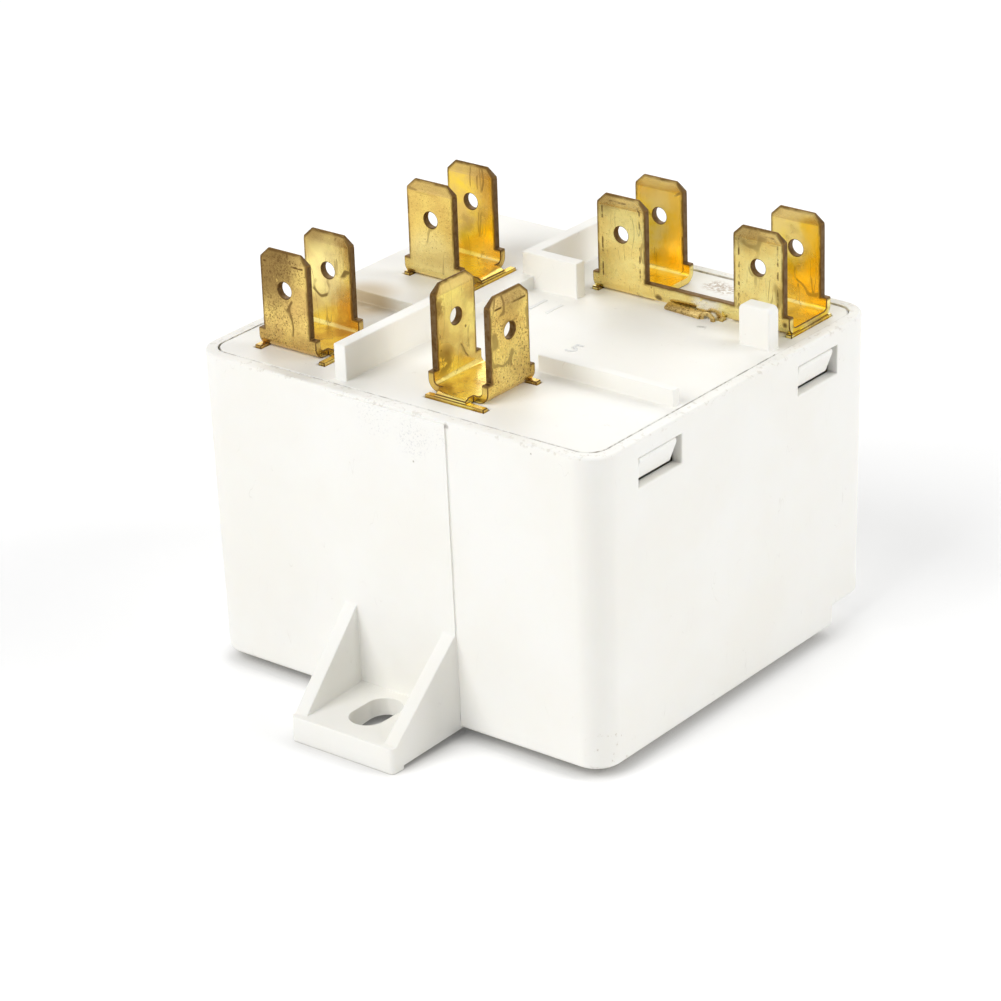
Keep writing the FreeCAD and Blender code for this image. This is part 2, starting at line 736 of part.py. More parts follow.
# Core with a tenon through the yoke and a pole head with a groove
pole_low = "pole_face - pole_thick"
turned("core", "coil_x", "coil_y",
       [("0", FLOOR), ("tenon_radius", FLOOR), ("tenon_radius", FLOOR + " + steel"),
        ("core_radius", FLOOR + " + steel"), ("core_radius", pole_low), ("pole_radius", pole_low),
        ("pole_radius", "pole_face"), ("ring_outer + fit_gap", "pole_face"),
        ("ring_outer + fit_gap", "pole_face - ring_depth"), ("ring_inner - fit_gap", "pole_face - ring_depth"),
        ("ring_inner - fit_gap", "pole_face"), ("0", "pole_face")])
turned("shading_ring", "coil_x", "coil_y",
       [("ring_inner", "pole_face - ring_depth"), ("ring_outer", "pole_face - ring_depth"),
        ("ring_outer", "pole_face"), ("ring_inner", "pole_face")])

# Bobbin with its pin lug and spring seat
bobbin_top = "(pole_face - pole_thick)"
bobbin = turned("bobbin", "coil_x", "coil_y",
                [("core_radius + fit_gap", "bobbin_bottom"), ("bobbin_radius", "bobbin_bottom"),
                 ("bobbin_radius", "bobbin_bottom + bobbin_flange"),
                 ("tube_radius", "bobbin_bottom + bobbin_flange"),
                 ("tube_radius", bobbin_top + " - bobbin_flange"),
                 ("bobbin_radius", bobbin_top + " - bobbin_flange"), ("bobbin_radius", bobbin_top),
                 ("core_radius + fit_gap", bobbin_top)])
prism(bobbin, "XY", bobbin_top + " - lug_thick", bobbin_top,
      [box("-lug_width / 2", "lug_width / 2", "lug_front - coil_y", "-winding_radius - tape_thick - fit_gap")])
prism(bobbin, "XY", bobbin_top + " - bobbin_flange", bobbin_top,
      [box("-lug_width / 2", "lug_width / 2", "-winding_radius - bobbin_flange", "lug_back - coil_y")])
prism(bobbin, "XY", bobbin_top + " - bobbin_flange / 2", bobbin_top + " + spring_seat_height",
      [("circle", "spring_x - coil_x", "0", "spring_seat_radius")])
prism(bobbin, "XY", bobbin_top + " - lug_thick", bobbin_top,
      [("circle", "-pin_half", "pin_y - coil_y", "pin_radius"),
       ("circle", "pin_half", "pin_y - coil_y", "pin_radius")], cut=True)

# Winding and its tape
coil_low = "bobbin_bottom + bobbin_flange"
coil_high = bobbin_top + " - bobbin_flange"
turned("winding", "coil_x", "coil_y",
       [("tube_radius", coil_low), ("winding_radius", coil_low), ("winding_radius", coil_high),
        ("tube_radius", coil_high)])
turned("winding_tape", "coil_x", "coil_y",
       [("winding_radius", coil_low), ("winding_radius + tape_thick", coil_low),
        ("winding_radius + tape_thick", coil_high), ("winding_radius", coil_high)])

# Pins
for label, sign in (("coil_pin_common", "-"), ("coil_pin_line", "+")):
    pin = new_body(label)
    prism(pin, "XY", "pin_bottom", "pin_top",
          [("circle", "coil_x %s pin_half" % sign, "pin_y", "pin_radius")])


def lead(label, plane, offset, path, solder_x, solder_y):
    """Sweep a round lead along a bent path and add a solder sleeve over its pin."""
    body = new_body(label)
    spine = new_sketch(body, plane, offset)
    places = [Vector(val(x), val(y), 0) for x, y in path]
    for index in range(len(path) - 1):
        spine.addGeometry(Part.LineSegment(places[index], places[index + 1]), False)
    for index in range(len(path) - 2):
        spine.addConstraint(Sketcher.Constraint("Coincident", index, 2, index + 1, 1))
    for index in range(len(path) - 1):
        tie(spine, "DistanceX", index, 1, path[index][0])
        tie(spine, "DistanceY", index, 1, path[index][1])
    last = len(path) - 2
    tie(spine, "DistanceX", last, 2, path[-1][0])
    tie(spine, "DistanceY", last, 2, path[-1][1])
    section = new_sketch(body, "XY", path[0][1])
    draw_circle(section, solder_x, solder_y, "lead_radius")
    pipe = body.newObject("PartDesign::AdditivePipe", label + "_pipe")
    pipe.Profile = section
    pipe.Spine = (spine, ["Edge%d" % (index + 1) for index in range(len(path) - 1)])
    pipe.Transition = "Round corner"
    prism(body, "XY", "pin_top - solder_length", "pin_top + solder_length",
          [("circle", solder_x, solder_y, "solder_radius")])
    prism(body, "XY", "pin_top - solder_length", "pin_top",
          [("circle", solder_x, solder_y, "pin_radius")], cut=True)
    return body


line_x = "(coil_x + pin_half)"
leg_face = "coil_tab_y + leg_reach - brass - lead_radius"
lead("coil_lead_line", "YZ", line_x,
     [("pin_y", "pin_top"), ("pin_y", "pin_top + 2 * solder_length"),
      (leg_face, RIM + " - leg_drop + solder_length / 2"), (leg_face, UNDERSIDE + " - solder_length")],
     line_x, "pin_y")
common_x = "(coil_x - pin_half)"
lead_level = "strip_bottom - solder_length - lead_radius"
lead_end = "(common_strip_front + common_strip_lead) / 2"
lead("coil_lead_common", "YZ", common_x,
     [("pin_y", "pin_top"), ("pin_y", lead_level), (lead_end, lead_level), (lead_end, "strip_bottom")],
     common_x, "pin_y")


# Armature and carrier are drawn closed and then swung open about the yoke's top edge
def swung(body):
    """Give a body the rest turn about the yoke's top edge."""
    turn = "Sizes.rest_angle * 1deg"
    body.Placement.Rotation = FreeCAD.Rotation(Vector(0, 1, 0), val("rest_angle"))
    body.setExpression("Placement.Base.x", "Sizes.yoke_right - Sizes.yoke_right * cos(%s)"
                       " - Sizes.yoke_top * sin(%s)" % (turn, turn))
    body.setExpression("Placement.Base.z", "Sizes.yoke_top + Sizes.yoke_right * sin(%s)"
                       " - Sizes.yoke_top * cos(%s)" % (turn, turn))


armature = new_body("armature")
arm_half = "armature_width / 2"
nose_half = "armature_nose / 2"
prism(armature, "XY", "yoke_top", "yoke_top + armature_thick",
      [[("yoke_right + armature_tail", "coil_y - " + arm_half),
        ("yoke_right + armature_tail", "coil_y + " + arm_half),
        ("armature_neck + 3 * steel", "coil_y + " + arm_half), ("armature_neck", "coil_y + " + nose_half),
        ("armature_left", "coil_y + " + nose_half), ("armature_left", "coil_y - " + nose_half),
        ("armature_neck", "coil_y - " + nose_half), ("armature_neck + 3 * steel", "coil_y - " + arm_half)]])
stake_holes = [("circle", "stake_x", "coil_y - stake_half", "stake_radius"),
               ("circle", "stake_x", "coil_y + stake_half", "stake_radius")]
prism(armature, "XY", "yoke_top", "yoke_top + armature_thick", stake_holes, cut=True)
swung(armature)

pusher = new_body("pusher")
carrier_low = "yoke_top - carrier_thick"
prism(pusher, "XY", carrier_low, "yoke_top",
      [box("carrier_left", "carrier_right", "coil_y - carrier_width / 2", "coil_y + carrier_width / 2")])
post_top = "yoke_top + carrier_post_rise"
prism(pusher, "XY", "yoke_top - carrier_thick / 2", post_top,
      [("circle", "carrier_post_x", "coil_y", "carrier_post_radius")])
prism(pusher, "XY", post_top, post_top + " + carrier_head_thick",
      [("circle", "carrier_post_x", "coil_y", "carrier_head_radius")])
prism(pusher, "XY", "yoke_top - carrier_thick / 2", "yoke_top + armature_thick", stake_holes)
prism(pusher, "XY", "yoke_top + armature_thick", "yoke_top + armature_thick + stake_rise",
      [("circle", "stake_x", "coil_y - stake_half", "stake_head"),
       ("circle", "stake_x", "coil_y + stake_half", "stake_head")])
swung(pusher)

# Bridge, its contacts and its leaf
bridge = new_body("contact_bridge")
prism(bridge, "XY", "bridge_bottom", "bridge_bottom + bridge_thick",
      [box("bridge_x - bridge_width / 2", "bridge_x + bridge_width / 2",
           "coil_y - bridge_length / 2", "coil_y + bridge_length / 2")])
prism(bridge, "XY", "bridge_bottom", "bridge_bottom + bridge_thick",
      [("circle", "bridge_x", "coil_y", "bridge_hole_radius")], cut=True)
doc.recompute()
ends = [(val("bridge_x") + sx * val("bridge_width") / 2, val("coil_y") + sy * val("bridge_length") / 2)
        for sx in (-1, 1) for sy in (-1, 1)]
round_edges(bridge, 2, ends, "post_round", 0.1)
moving_low = "bridge_bottom + bridge_thick"
moving_high = moving_low + " + moving_height"
fixed_low = "strip_bottom - fixed_height"
for label, sign, low, high, rounded in (
        ("moving_contact_front", "-", moving_low, moving_high, moving_high),
        ("moving_contact_rear", "+", moving_low, moving_high, moving_high),
        ("fixed_contact_front", "-", fixed_low, "strip_bottom", fixed_low),
        ("fixed_contact_rear", "+", fixed_low, "strip_bottom", fixed_low)):
    button = new_body(label)
    prism(button, "XY", low, high, [("circle", "bridge_x", "coil_y %s contact_half" % sign, "contact_radius")])
    doc.recompute()
    names = ["Edge%d" % number for number, edge in enumerate(button.Tip.Shape.Edges, 1)
             if abs(edge.BoundBox.ZMin - val(rounded)) < 0.001 and abs(edge.BoundBox.ZMax - val(rounded)) < 0.001]
    dress(button, "Chamfer", names, "contact_bevel")

leaf = new_body("bridge_spring")
rise = "(bridge_bottom - fit_gap - leaf_thick)"
leaf_low = []
for y in ("-leaf_half", "-leaf_half + 1", "-leaf_hole_radius - 1", "-leaf_hole_radius",
          "leaf_hole_radius", "leaf_hole_radius + 1", "leaf_half - 1", "leaf_half"):
    level = {"-leaf_half": rise, "leaf_half": rise, "-leaf_half + 1": rise, "leaf_half - 1": rise,
             "-leaf_hole_radius - 1": "leaf_bottom + (%s - leaf_bottom) / 4" % rise,
             "leaf_hole_radius + 1": "leaf_bottom + (%s - leaf_bottom) / 4" % rise}.get(y, "leaf_bottom")
    leaf_low.append(("coil_y + (%s)" % y, level))
leaf_high = [(y, z + " + leaf_thick") for y, z in reversed(leaf_low)]
prism(leaf, "YZ", "bridge_x - leaf_width / 2 - overlap", "bridge_x + leaf_width / 2",
      [leaf_low + leaf_high])
prism(leaf, "XY", "leaf_bottom - 1", "bridge_bottom", [("circle", "bridge_x", "coil_y", "leaf_hole_radius")],
      cut=True)

# Strips
strip = new_body("contact_strip")
leg_side = "(contact_x + leg_out)"
prism(strip, "XZ", "contact_strip_front", "contact_strip_back",
      [[("contact_strip_left", "strip_bottom"), (leg_side + " + brass", "strip_bottom"),
        (leg_side + " + brass", "strip_bottom + strip_rise"), (leg_side, "strip_bottom + strip_rise"),
        (leg_side, "strip_bottom + brass"), ("contact_strip_left", "strip_bottom + brass")]])
round_edges(strip, 1, [(val(leg_side + " + brass"), val("strip_bottom"))], "bend_outer", 0.1)
strip = new_body("common_strip")
leg_side = "(common_left_x - leg_reach)"
prism(strip, "XY", "strip_bottom", "strip_bottom + brass",
      [[(leg_side, "common_strip_near"), (leg_side, "common_strip_far"),
        ("common_strip_side", "common_strip_far"), ("common_strip_side", "common_strip_notch"),
        ("common_strip_end", "common_strip_notch"), ("common_strip_end", "common_strip_front"),
        ("common_strip_right", "common_strip_front"), ("common_strip_right", "common_strip_lead"),
        ("common_strip_inner", "common_strip_lead"), ("common_strip_inner", "common_strip_near")]])
prism(strip, "XY", "strip_bottom", "strip_bottom + strip_rise",
      [box(leg_side + " - brass", leg_side, "common_strip_near", "common_strip_far")])

# Return spring as a coil around the seat on the bobbin
spring = new_body("return_spring")
section = new_sketch(spring, "XZ", "0")
wire_z = bobbin_top + " + spring_wire"
wire_rise = "spring_wire * sqrt(3) / 2"
draw_polygon(section, [("spring_radius - spring_wire", wire_z),
                       ("spring_radius - spring_wire / 2", wire_z + " - " + wire_rise),
                       ("spring_radius + spring_wire / 2", wire_z + " - " + wire_rise),
                       ("spring_radius + spring_wire", wire_z),
                       ("spring_radius + spring_wire / 2", wire_z + " + " + wire_rise),
                       ("spring_radius - spring_wire / 2", wire_z + " + " + wire_rise)])
coil = spring.newObject("PartDesign::AdditiveHelix", "return_spring_coil")
coil.Profile = section
coil.ReferenceAxis = (section, ["V_Axis"])
coil.Mode = 1
coil.setExpression("Height", bound("spring_top - %s - 2 * spring_wire" % bobbin_top))
coil.setExpression("Turns", "Sizes.spring_turns")
coil.setExpression("Pitch", bound("(spring_top - %s - 2 * spring_wire) / spring_turns" % bobbin_top))
place(spring, "spring_x", "coil_y", "0")

# Retainer with a jog round the armature's tail and two screws
retainer = new_body("armature_retainer")
near_x = "yoke_right"
far_x = "yoke_right + retainer_jog"
prism(retainer, "XZ", "coil_y - retainer_width / 2", "coil_y + retainer_width / 2",
      [[(near_x, "retainer_bottom"), (near_x + " + retainer_thick", "retainer_bottom"),
        (near_x + " + retainer_thick", "retainer_step - retainer_thick"),
        (far_x + " + retainer_thick", "retainer_step + retainer_jog - retainer_thick"),
        (far_x + " + retainer_thick", "retainer_top + retainer_thick"),
        ("yoke_right - retainer_lip", "retainer_top + retainer_thick"),
        ("yoke_right - retainer_lip", "retainer_top"), (far_x, "retainer_top"),
        (far_x, "retainer_step + retainer_jog"), (near_x, "retainer_step")]])
prism(retainer, "YZ", "yoke_right", "yoke_right + retainer_thick", holes, cut=True)
seat_x = "yoke_right + retainer_thick"
for label, level in (("retainer_screw_low", "screw_low"), ("retainer_screw_high", "screw_high")):
    screw = new_body(label)
    prism(screw, "YZ", "yoke_right - steel", seat_x + " + screw_head_height / 2",
          [("circle", "coil_y", level, "screw_radius")])
    prism(screw, "YZ", seat_x, seat_x + " + screw_head_height",
          [("circle", "coil_y", level, "screw_head_radius")])
    prism(screw, "YZ", seat_x + " + screw_head_height / 2", seat_x + " + screw_head_height",
          [box("coil_y - screw_head_radius - overlap", "coil_y + screw_head_radius + overlap",
               level + " - screw_slot / 2", level + " + screw_slot / 2")], cut=True)

# Check and write every piece
doc.recompute()
for item in doc.Objects:
    if "Invalid" in item.State or "Error" in item.State:
        raise RuntimeError("%s: %s" % (item.Label, item.State))
for item in doc.Objects:
    if item.TypeId != "PartDesign::Body":
        continue
    shape = item.Shape
    if shape.isNull() or not shape.isValid():
        raise RuntimeError("bad shape " + item.Label)
    bounds = shape.BoundBox
    print("%-22s solids %d volume %.2f x %.2f..%.2f y %.2f..%.2f z %.2f..%.2f"
          % (item.Label, len(shape.Solids), shape.Volume, bounds.XMin, bounds.XMax, bounds.YMin, bounds.YMax,
             bounds.ZMin, bounds.ZMax))
    shape.exportStep("parts/%s.step" % item.Label)
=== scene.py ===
import logging
import math
from dataclasses import dataclass
from enum import Enum
from functools import reduce
from typing import ClassVar, Optional, Union

import bmesh
import bpy
from mathutils import Color, Matrix, Vector


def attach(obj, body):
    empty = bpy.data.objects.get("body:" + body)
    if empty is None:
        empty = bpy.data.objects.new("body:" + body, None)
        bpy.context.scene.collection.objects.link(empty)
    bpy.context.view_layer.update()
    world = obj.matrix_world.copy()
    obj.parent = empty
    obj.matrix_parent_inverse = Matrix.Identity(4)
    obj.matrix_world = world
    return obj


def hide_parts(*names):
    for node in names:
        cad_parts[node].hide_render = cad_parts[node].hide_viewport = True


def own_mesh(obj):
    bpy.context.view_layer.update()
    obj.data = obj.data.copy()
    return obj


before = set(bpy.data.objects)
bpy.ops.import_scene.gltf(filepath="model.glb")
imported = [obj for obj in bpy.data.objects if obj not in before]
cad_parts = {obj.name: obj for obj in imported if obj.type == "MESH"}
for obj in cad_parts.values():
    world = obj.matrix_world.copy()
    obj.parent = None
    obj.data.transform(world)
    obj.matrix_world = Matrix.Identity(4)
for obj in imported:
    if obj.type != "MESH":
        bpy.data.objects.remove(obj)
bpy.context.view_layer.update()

LOG = logging.getLogger("start_relay")

MM = 0.001
JOINED = 0.0015 * MM
LEAST_GAP = 1e-7
SMOOTH_DEGREES = 50.0
FULL_CHANNEL = 255.0
IMAGE_SIZE = 1001
ORIGIN = (0.0, 0.0, 0.0)
WHITE = (1.0, 1.0, 1.0, 1.0)
FLAT = (1.0, 1.0, 0.0)
# The sockets of the Mix node that hold its share, both colours and the mixed colour
MIX_SHARE, MIX_FIRST, MIX_SECOND, MIX_RESULT = 0, 6, 7, 2

Colour = tuple[float, float, float]
Point = tuple[float, float, float]
Rise = tuple[float, float]
Socket = bpy.types.NodeSocket
Sockets = bpy.types.NodeOutputs
Material = bpy.types.Material
BMesh = bmesh.types.BMesh
Feed = Union[Socket, float, tuple]


def linear(colour: Colour) -> tuple[float, float, float, float]:
    """Turn a screen colour of 0 to 255 into the linear colour that Blender works in.

    Args:
        colour: Red, green and blue as a screen shows them.

    Returns:
        Red, green, blue and an alpha of 1.
    """
    screen = Color([channel / FULL_CHANNEL for channel in colour])
    return (*screen.from_srgb_to_scene_linear(), 1.0)


def metres(place: Point) -> Point:
    """Turn a place or size from millimetres into metres."""
    return tuple(part * MM for part in place)


class Graph:
    """A node tree with short ways to add nodes and wire them."""

    def __init__(self, tree: bpy.types.NodeTree) -> None:
        """Hold the tree.

        Args:
            tree: The node tree to fill.
        """
        self.tree = tree

    def put(self, kind: str, feeds: dict[Union[str, int], Feed], **settings: object) -> bpy.types.Node:
        """Add one node.

        Args:
            kind: The node's type name.
            feeds: Values or sockets for its inputs.
            settings: The node's own properties.

        Returns:
            The new node.
        """
        node = self.tree.nodes.new(kind)
        for name, value in settings.items():
            setattr(node, name, value)
        for key, value in feeds.items():
            self.plug(node.inputs[key], value)
        return node

    def plug(self, socket: Socket, value: Feed) -> None:
        """Wire a socket or set its value.

        Args:
            socket: The input to feed.
            value: A socket to link from, or a constant.
        """
        if isinstance(value, Socket):
            self.tree.links.new(value, socket)
        else:
            socket.default_value = value

    def sums(self, operation: str, first: Feed, second: Feed = 0.0, clamp: bool = False) -> Socket:
        """Work on two numbers.

        Args:
            operation: The Math node's operation.
            first: The first number.
            second: The second number.
            clamp: Keep the result within 0 and 1.

        Returns:
            The result's socket.
        """
        feeds = {0: first, 1: second}
        return self.put("ShaderNodeMath", feeds, operation=operation, use_clamp=clamp).outputs[0]

    def times(self, *factors: Feed) -> Socket:
        """Multiply numbers, from the first to the last."""
        return reduce(lambda one, other: self.sums("MULTIPLY", one, other), factors)

    def most(self, *values: Feed) -> Socket:
        """Take the largest of several numbers."""
        return reduce(lambda one, other: self.sums("MAXIMUM", one, other), values)

    def plus(self, first: Feed, second: Feed) -> Socket:
        """Add two numbers."""
        return self.sums("ADD", first, second)

    def minus(self, first: Feed, second: Feed) -> Socket:
        """Take the second number from the first."""
        return self.sums("SUBTRACT", first, second)

    def apart(self, first: Feed, second: Feed) -> Socket:
        """Measure how far two numbers lie apart."""
        return self.sums("ABSOLUTE", self.minus(first, second))

    def step(self, value: Feed, start: Feed, end: Feed) -> Socket:
        """Rise smoothly from 0 to 1.

        Args:
            value: The number that drives the rise.
            start: Where the result is still 0.
            end: Where the result has become 1.

        Returns:
            The result's socket.
        """
        feeds = {"Value": value, "From Min": start, "From Max": end}
        return self.put("ShaderNodeMapRange", feeds, interpolation_type="SMOOTHSTEP").outputs[0]

    def rise(self, value: Feed, limits: Rise) -> Socket:
        """Rise smoothly from 0 to 1 between two limits in millimetres."""
        return self.step(value, limits[0] * MM, limits[1] * MM)

    def blend(self, share: Feed, first: Feed, second: Feed) -> Socket:
        """Mix two colours.

        Args:
            share: How much of the second colour shows.
            first: The first colour.
            second: The second colour.

        Returns:
            The mixed colour's socket.
        """
        feeds = {MIX_SHARE: share, MIX_FIRST: first, MIX_SECOND: second}
        return self.put("ShaderNodeMix", feeds, data_type="RGBA").outputs[MIX_RESULT]

    def vector(self, operation: str, first: Feed, second: Feed = ORIGIN, result: str = "Vector") -> Socket:
        """Work on two vectors.

        Args:
            operation: The Vector Math node's operation.
            first: The first vector.
            second: The second vector.
            result: The name of the output to return.

        Returns:
            The result's socket.
        """
        return self.put("ShaderNodeVectorMath", {0: first, 1: second}, operation=operation).outputs[result]

    def split(self, vector: Socket) -> Sockets:
        """Take a vector apart into its three numbers."""
        return self.put("ShaderNodeSeparateXYZ", {0: vector}).outputs

    def noise(self, place: Feed, scale: Feed, detail: float, roughness: float = 0.5) -> Sockets:
        """Add a noise texture.

        Args:
            place: Where it is read.
            scale: How fine it is.
            detail: How many finer layers it has.
            roughness: How strong these are.

        Returns:
            Its outputs, of which the first is a number.
        """
        feeds = {"Vector": place, "Scale": scale, "Detail": detail, "Roughness": roughness}
        return self.put("ShaderNodeTexNoise", feeds).outputs


class Effect(Enum):
    """Patterns that more than one finish uses."""

    CLOUDS = "clouds"
    SPECKS = "specks"
    SCRATCHES = "scratches"
    SMUDGE = "smudge"
    GRAIN = "grain"
    SEAM = "seam"
    BLADE_EDGE = "blade_edge"


class EffectGraph(Graph):
    """The inside of an effect's node group, with a method that draws each effect."""

    def __init__(self, tree: bpy.types.NodeTree) -> None:
        """Open the group.

        Args:
            tree: The group's tree, which already has its sockets.
        """
        super().__init__(tree)
        self.given: Sockets = self.put("NodeGroupInput", {}).outputs

    def draw(self, effect: Effect) -> Socket:
        """Draw one effect from the group's inputs.

        Args:
            effect: The effect to draw.

        Returns:
            The socket of its value.
        """
        ways = {Effect.CLOUDS: self.clouds, Effect.SPECKS: self.specks, Effect.SCRATCHES: self.scratches,
                Effect.SMUDGE: self.smudge, Effect.GRAIN: self.grain, Effect.SEAM: self.seam,
                Effect.BLADE_EDGE: self.blade_edge}
        return ways[effect]()

    def clouds(self) -> Socket:
        """Draw soft patches with a low and a high limit.

        Returns:
            The socket of their value.
        """
        noise = self.noise(self.given["Vector"], self.given["Scale"], 4.0, 0.55)
        return self.step(noise[0], self.given["Low"], self.given["High"])

    def specks(self) -> Socket:
        """Draw small round spots in a share of the cells.

        Returns:
            The socket of their mask.
        """
        wobble = self.noise(self.given["Vector"], 1800.0, 1.0)["Color"]
        push = self.vector("SCALE", wobble)
        push.node.inputs["Scale"].default_value = 0.12 * MM
        place = self.vector("ADD", self.given["Vector"], push)
        cells = self.put("ShaderNodeTexVoronoi", {"Vector": place, "Scale": self.given["Scale"]}).outputs
        lots = self.put("ShaderNodeSeparateColor", {0: cells["Color"]}).outputs
        chosen = self.sums("LESS_THAN", lots[0], self.given["Share"])
        size = self.times(self.given["Size"], self.plus(lots[1], 0.4))
        return self.times(chosen, self.step(cells["Distance"], size, self.times(size, 0.5)))

    def scratches(self) -> Socket:
        """Draw thin broken lines that run along the least stretched axis.

        Returns:
            The socket of their mask.
        """
        place = self.vector("MULTIPLY", self.given["Vector"], self.given["Stretch"])
        offset = self.apart(self.noise(place, self.given["Scale"], 2.0)[0], 0.5)
        line = self.step(offset, self.given["Width"], self.times(self.given["Width"], 0.3))
        breaks = self.noise(self.given["Vector"], 330.0, 1.0)[0]
        edge = self.minus(1.0, self.given["Share"])
        return self.times(line, self.step(breaks, edge, self.plus(edge, 0.08)))

    def smudge(self) -> Socket:
        """Draw a mottled patch around one place.

        Returns:
            The socket of its mask.
        """
        reach = self.vector("DISTANCE", self.given["Vector"], self.given["Centre"], "Value")
        near = self.step(reach, self.given["Radius"], self.times(self.given["Radius"], 0.35))
        noise = self.noise(self.given["Vector"], self.given["Scale"], 3.0, 0.7)[0]
        edge = self.minus(0.85, self.times(self.given["Cover"], 0.6))
        return self.times(near, self.step(noise, edge, self.plus(edge, 0.1)))

    def grain(self) -> Socket:
        """Draw a fine surface height with a share of a coarser one.

        Returns:
            The socket of the height.
        """
        fine = self.noise(self.given["Vector"], self.given["Scale"], 3.0)[0]
        coarse = self.noise(self.given["Vector"], self.times(self.given["Scale"], 0.12), 2.0)[0]
        return self.plus(fine, self.times(coarse, self.given["Coarse"]))

    def seam(self) -> Socket:
        """Draw the narrow strip along a rounded rectangle's outline.

        Returns:
            The socket of its mask.
        """
        radius = self.given["Radius"]
        corner = self.put("ShaderNodeCombineXYZ", {0: radius, 1: radius}).outputs[0]
        inner = self.vector("SUBTRACT", self.given["Half"], corner)
        place = self.vector("MULTIPLY", self.given["Vector"], FLAT)
        past = self.vector("SUBTRACT", self.vector("ABSOLUTE", place), inner)
        past = self.vector("MULTIPLY", self.vector("MAXIMUM", past), FLAT)
        away = self.apart(self.vector("LENGTH", past, result="Value"), radius)
        return self.step(away, self.given["Reach"], 0.0)

    def blade_edge(self) -> Socket:
        """Measure the distance from a tab's outline, with its cut corners.

        Returns:
            The socket of the distance in metres.
        """
        from_pair = self.minus(self.apart(self.given["Across"], self.given["Middle"]), self.given["Spread"])
        side = self.minus(self.given["Width"], self.sums("ABSOLUTE", from_pair))
        top = self.minus(self.given["Tip"], self.given["Height"])
        corner = self.times(self.minus(self.plus(side, top), self.given["Cut"]), math.sqrt(0.5))
        return self.sums("MINIMUM", self.sums("MINIMUM", side, top), corner)


class EffectShelf:
    """The shader node groups, each built the first time that a finish asks for it."""

    INPUTS: ClassVar[dict[Effect, tuple[str, ...]]] = {
        Effect.CLOUDS: ("Vector", "Scale", "Low", "High"),
        Effect.SPECKS: ("Vector", "Scale", "Share", "Size"),
        Effect.SCRATCHES: ("Vector", "Stretch", "Scale", "Width", "Share"),
        Effect.SMUDGE: ("Vector", "Centre", "Radius", "Scale", "Cover"),
        Effect.GRAIN: ("Vector", "Scale", "Coarse"),
        Effect.SEAM: ("Vector", "Half", "Radius", "Reach"),
        Effect.BLADE_EDGE: ("Across", "Height", "Middle", "Spread", "Width", "Tip", "Cut"),
    }
    VECTORS: ClassVar[tuple[str, ...]] = ("Vector", "Stretch", "Centre", "Half")

    def __init__(self) -> None:
        """Start with an empty shelf."""
        self.groups: dict[Effect, bpy.types.NodeTree] = {}

    def use(self, graph: Graph, effect: Effect, feeds: dict[str, Feed]) -> Socket:
        """Place an effect in a material.

        Args:
            graph: The material's graph.
            effect: The effect to place.
            feeds: Values or sockets for its inputs.

        Returns:
            The effect's output socket.
        """
        if effect not in self.groups:
            self.groups[effect] = self.build(effect)
        node = graph.put("ShaderNodeGroup", {}, node_tree=self.groups[effect])
        for name, value in feeds.items():
            graph.plug(node.inputs[name], value)
        return node.outputs[0]

    def build(self, effect: Effect) -> bpy.types.NodeTree:
        """Make one node group with its named sockets.

        Args:
            effect: The effect to build.

        Returns:
            The group's tree.
        """
        tree = bpy.data.node_groups.new("relay_" + effect.value, "ShaderNodeTree")
        for name in self.INPUTS[effect]:
            kind = "NodeSocketVector" if name in self.VECTORS else "NodeSocketFloat"
            tree.interface.new_socket(name=name, in_out="INPUT", socket_type=kind)
        tree.interface.new_socket(name="Value", in_out="OUTPUT", socket_type="NodeSocketFloat")
        inside = EffectGraph(tree)
        inside.put("NodeGroupOutput", {0: inside.draw(effect)})
        return tree


SHELF = EffectShelf()


def emptied(owner: Union[Material, bpy.types.World]) -> Graph:
    """Give a material or world an empty graph."""
    owner.use_nodes = True
    owner.node_tree.nodes.clear()
    return Graph(owner.node_tree)


class Paint(Graph):
    """A material in the making: its shader, the place on the piece and the colour so far."""

    def __init__(self, name: str) -> None:
        """Start a material with a Principled shader.

        Args:
            name: The finish's name.
        """
        self.material = bpy.data.materials.new("relay_" + name)
        super().__init__(emptied(self.material).tree)
        self.shader = self.put("ShaderNodeBsdfPrincipled", {})
        self.put("ShaderNodeOutputMaterial", {"Surface": self.shader.outputs[0]})
        self.place = self.put("ShaderNodeTexCoord", {}).outputs["Object"]
        self.base: Feed = WHITE

    def cover(self, share: Feed, first: Colour, second: Colour) -> None:
        """Lay the ground colour as a mix of two.

        Args:
            share: How much of the second colour shows.
            first: The first colour.
            second: The second colour.
        """
        self.base = self.blend(share, linear(first), linear(second))

    def tint(self, share: Feed, colour: Union[Colour, Socket]) -> None:
        """Lay a further colour over the one so far.

        Args:
            share: How much of it shows.
            colour: The colour, or its socket.
        """
        self.base = self.blend(share, self.base, colour if isinstance(colour, Socket) else linear(colour))

    def done(self, roughness: Feed, height: Socket, depth: float, **constants: Feed) -> Material:
        """Feed the shader and hand over the material.

        Args:
            roughness: The roughness.
            height: The height of the surface's relief, from 0 to about 1.
            depth: The real depth of the relief in millimetres.
            constants: Further values, by the shader's input names with _ for each space.

        Returns:
            The finished material.
        """
        self.plug(self.shader.inputs["Base Color"], self.base)
        self.plug(self.shader.inputs["Roughness"], roughness)
        for name, value in constants.items():
            self.shader.inputs[name.replace("_", " ")].default_value = value
        bump = self.put("ShaderNodeBump", {"Height": height, "Distance": depth * MM, "Strength": 1.0})
        self.plug(self.shader.inputs["Normal"], bump.outputs[0])
        return self.material


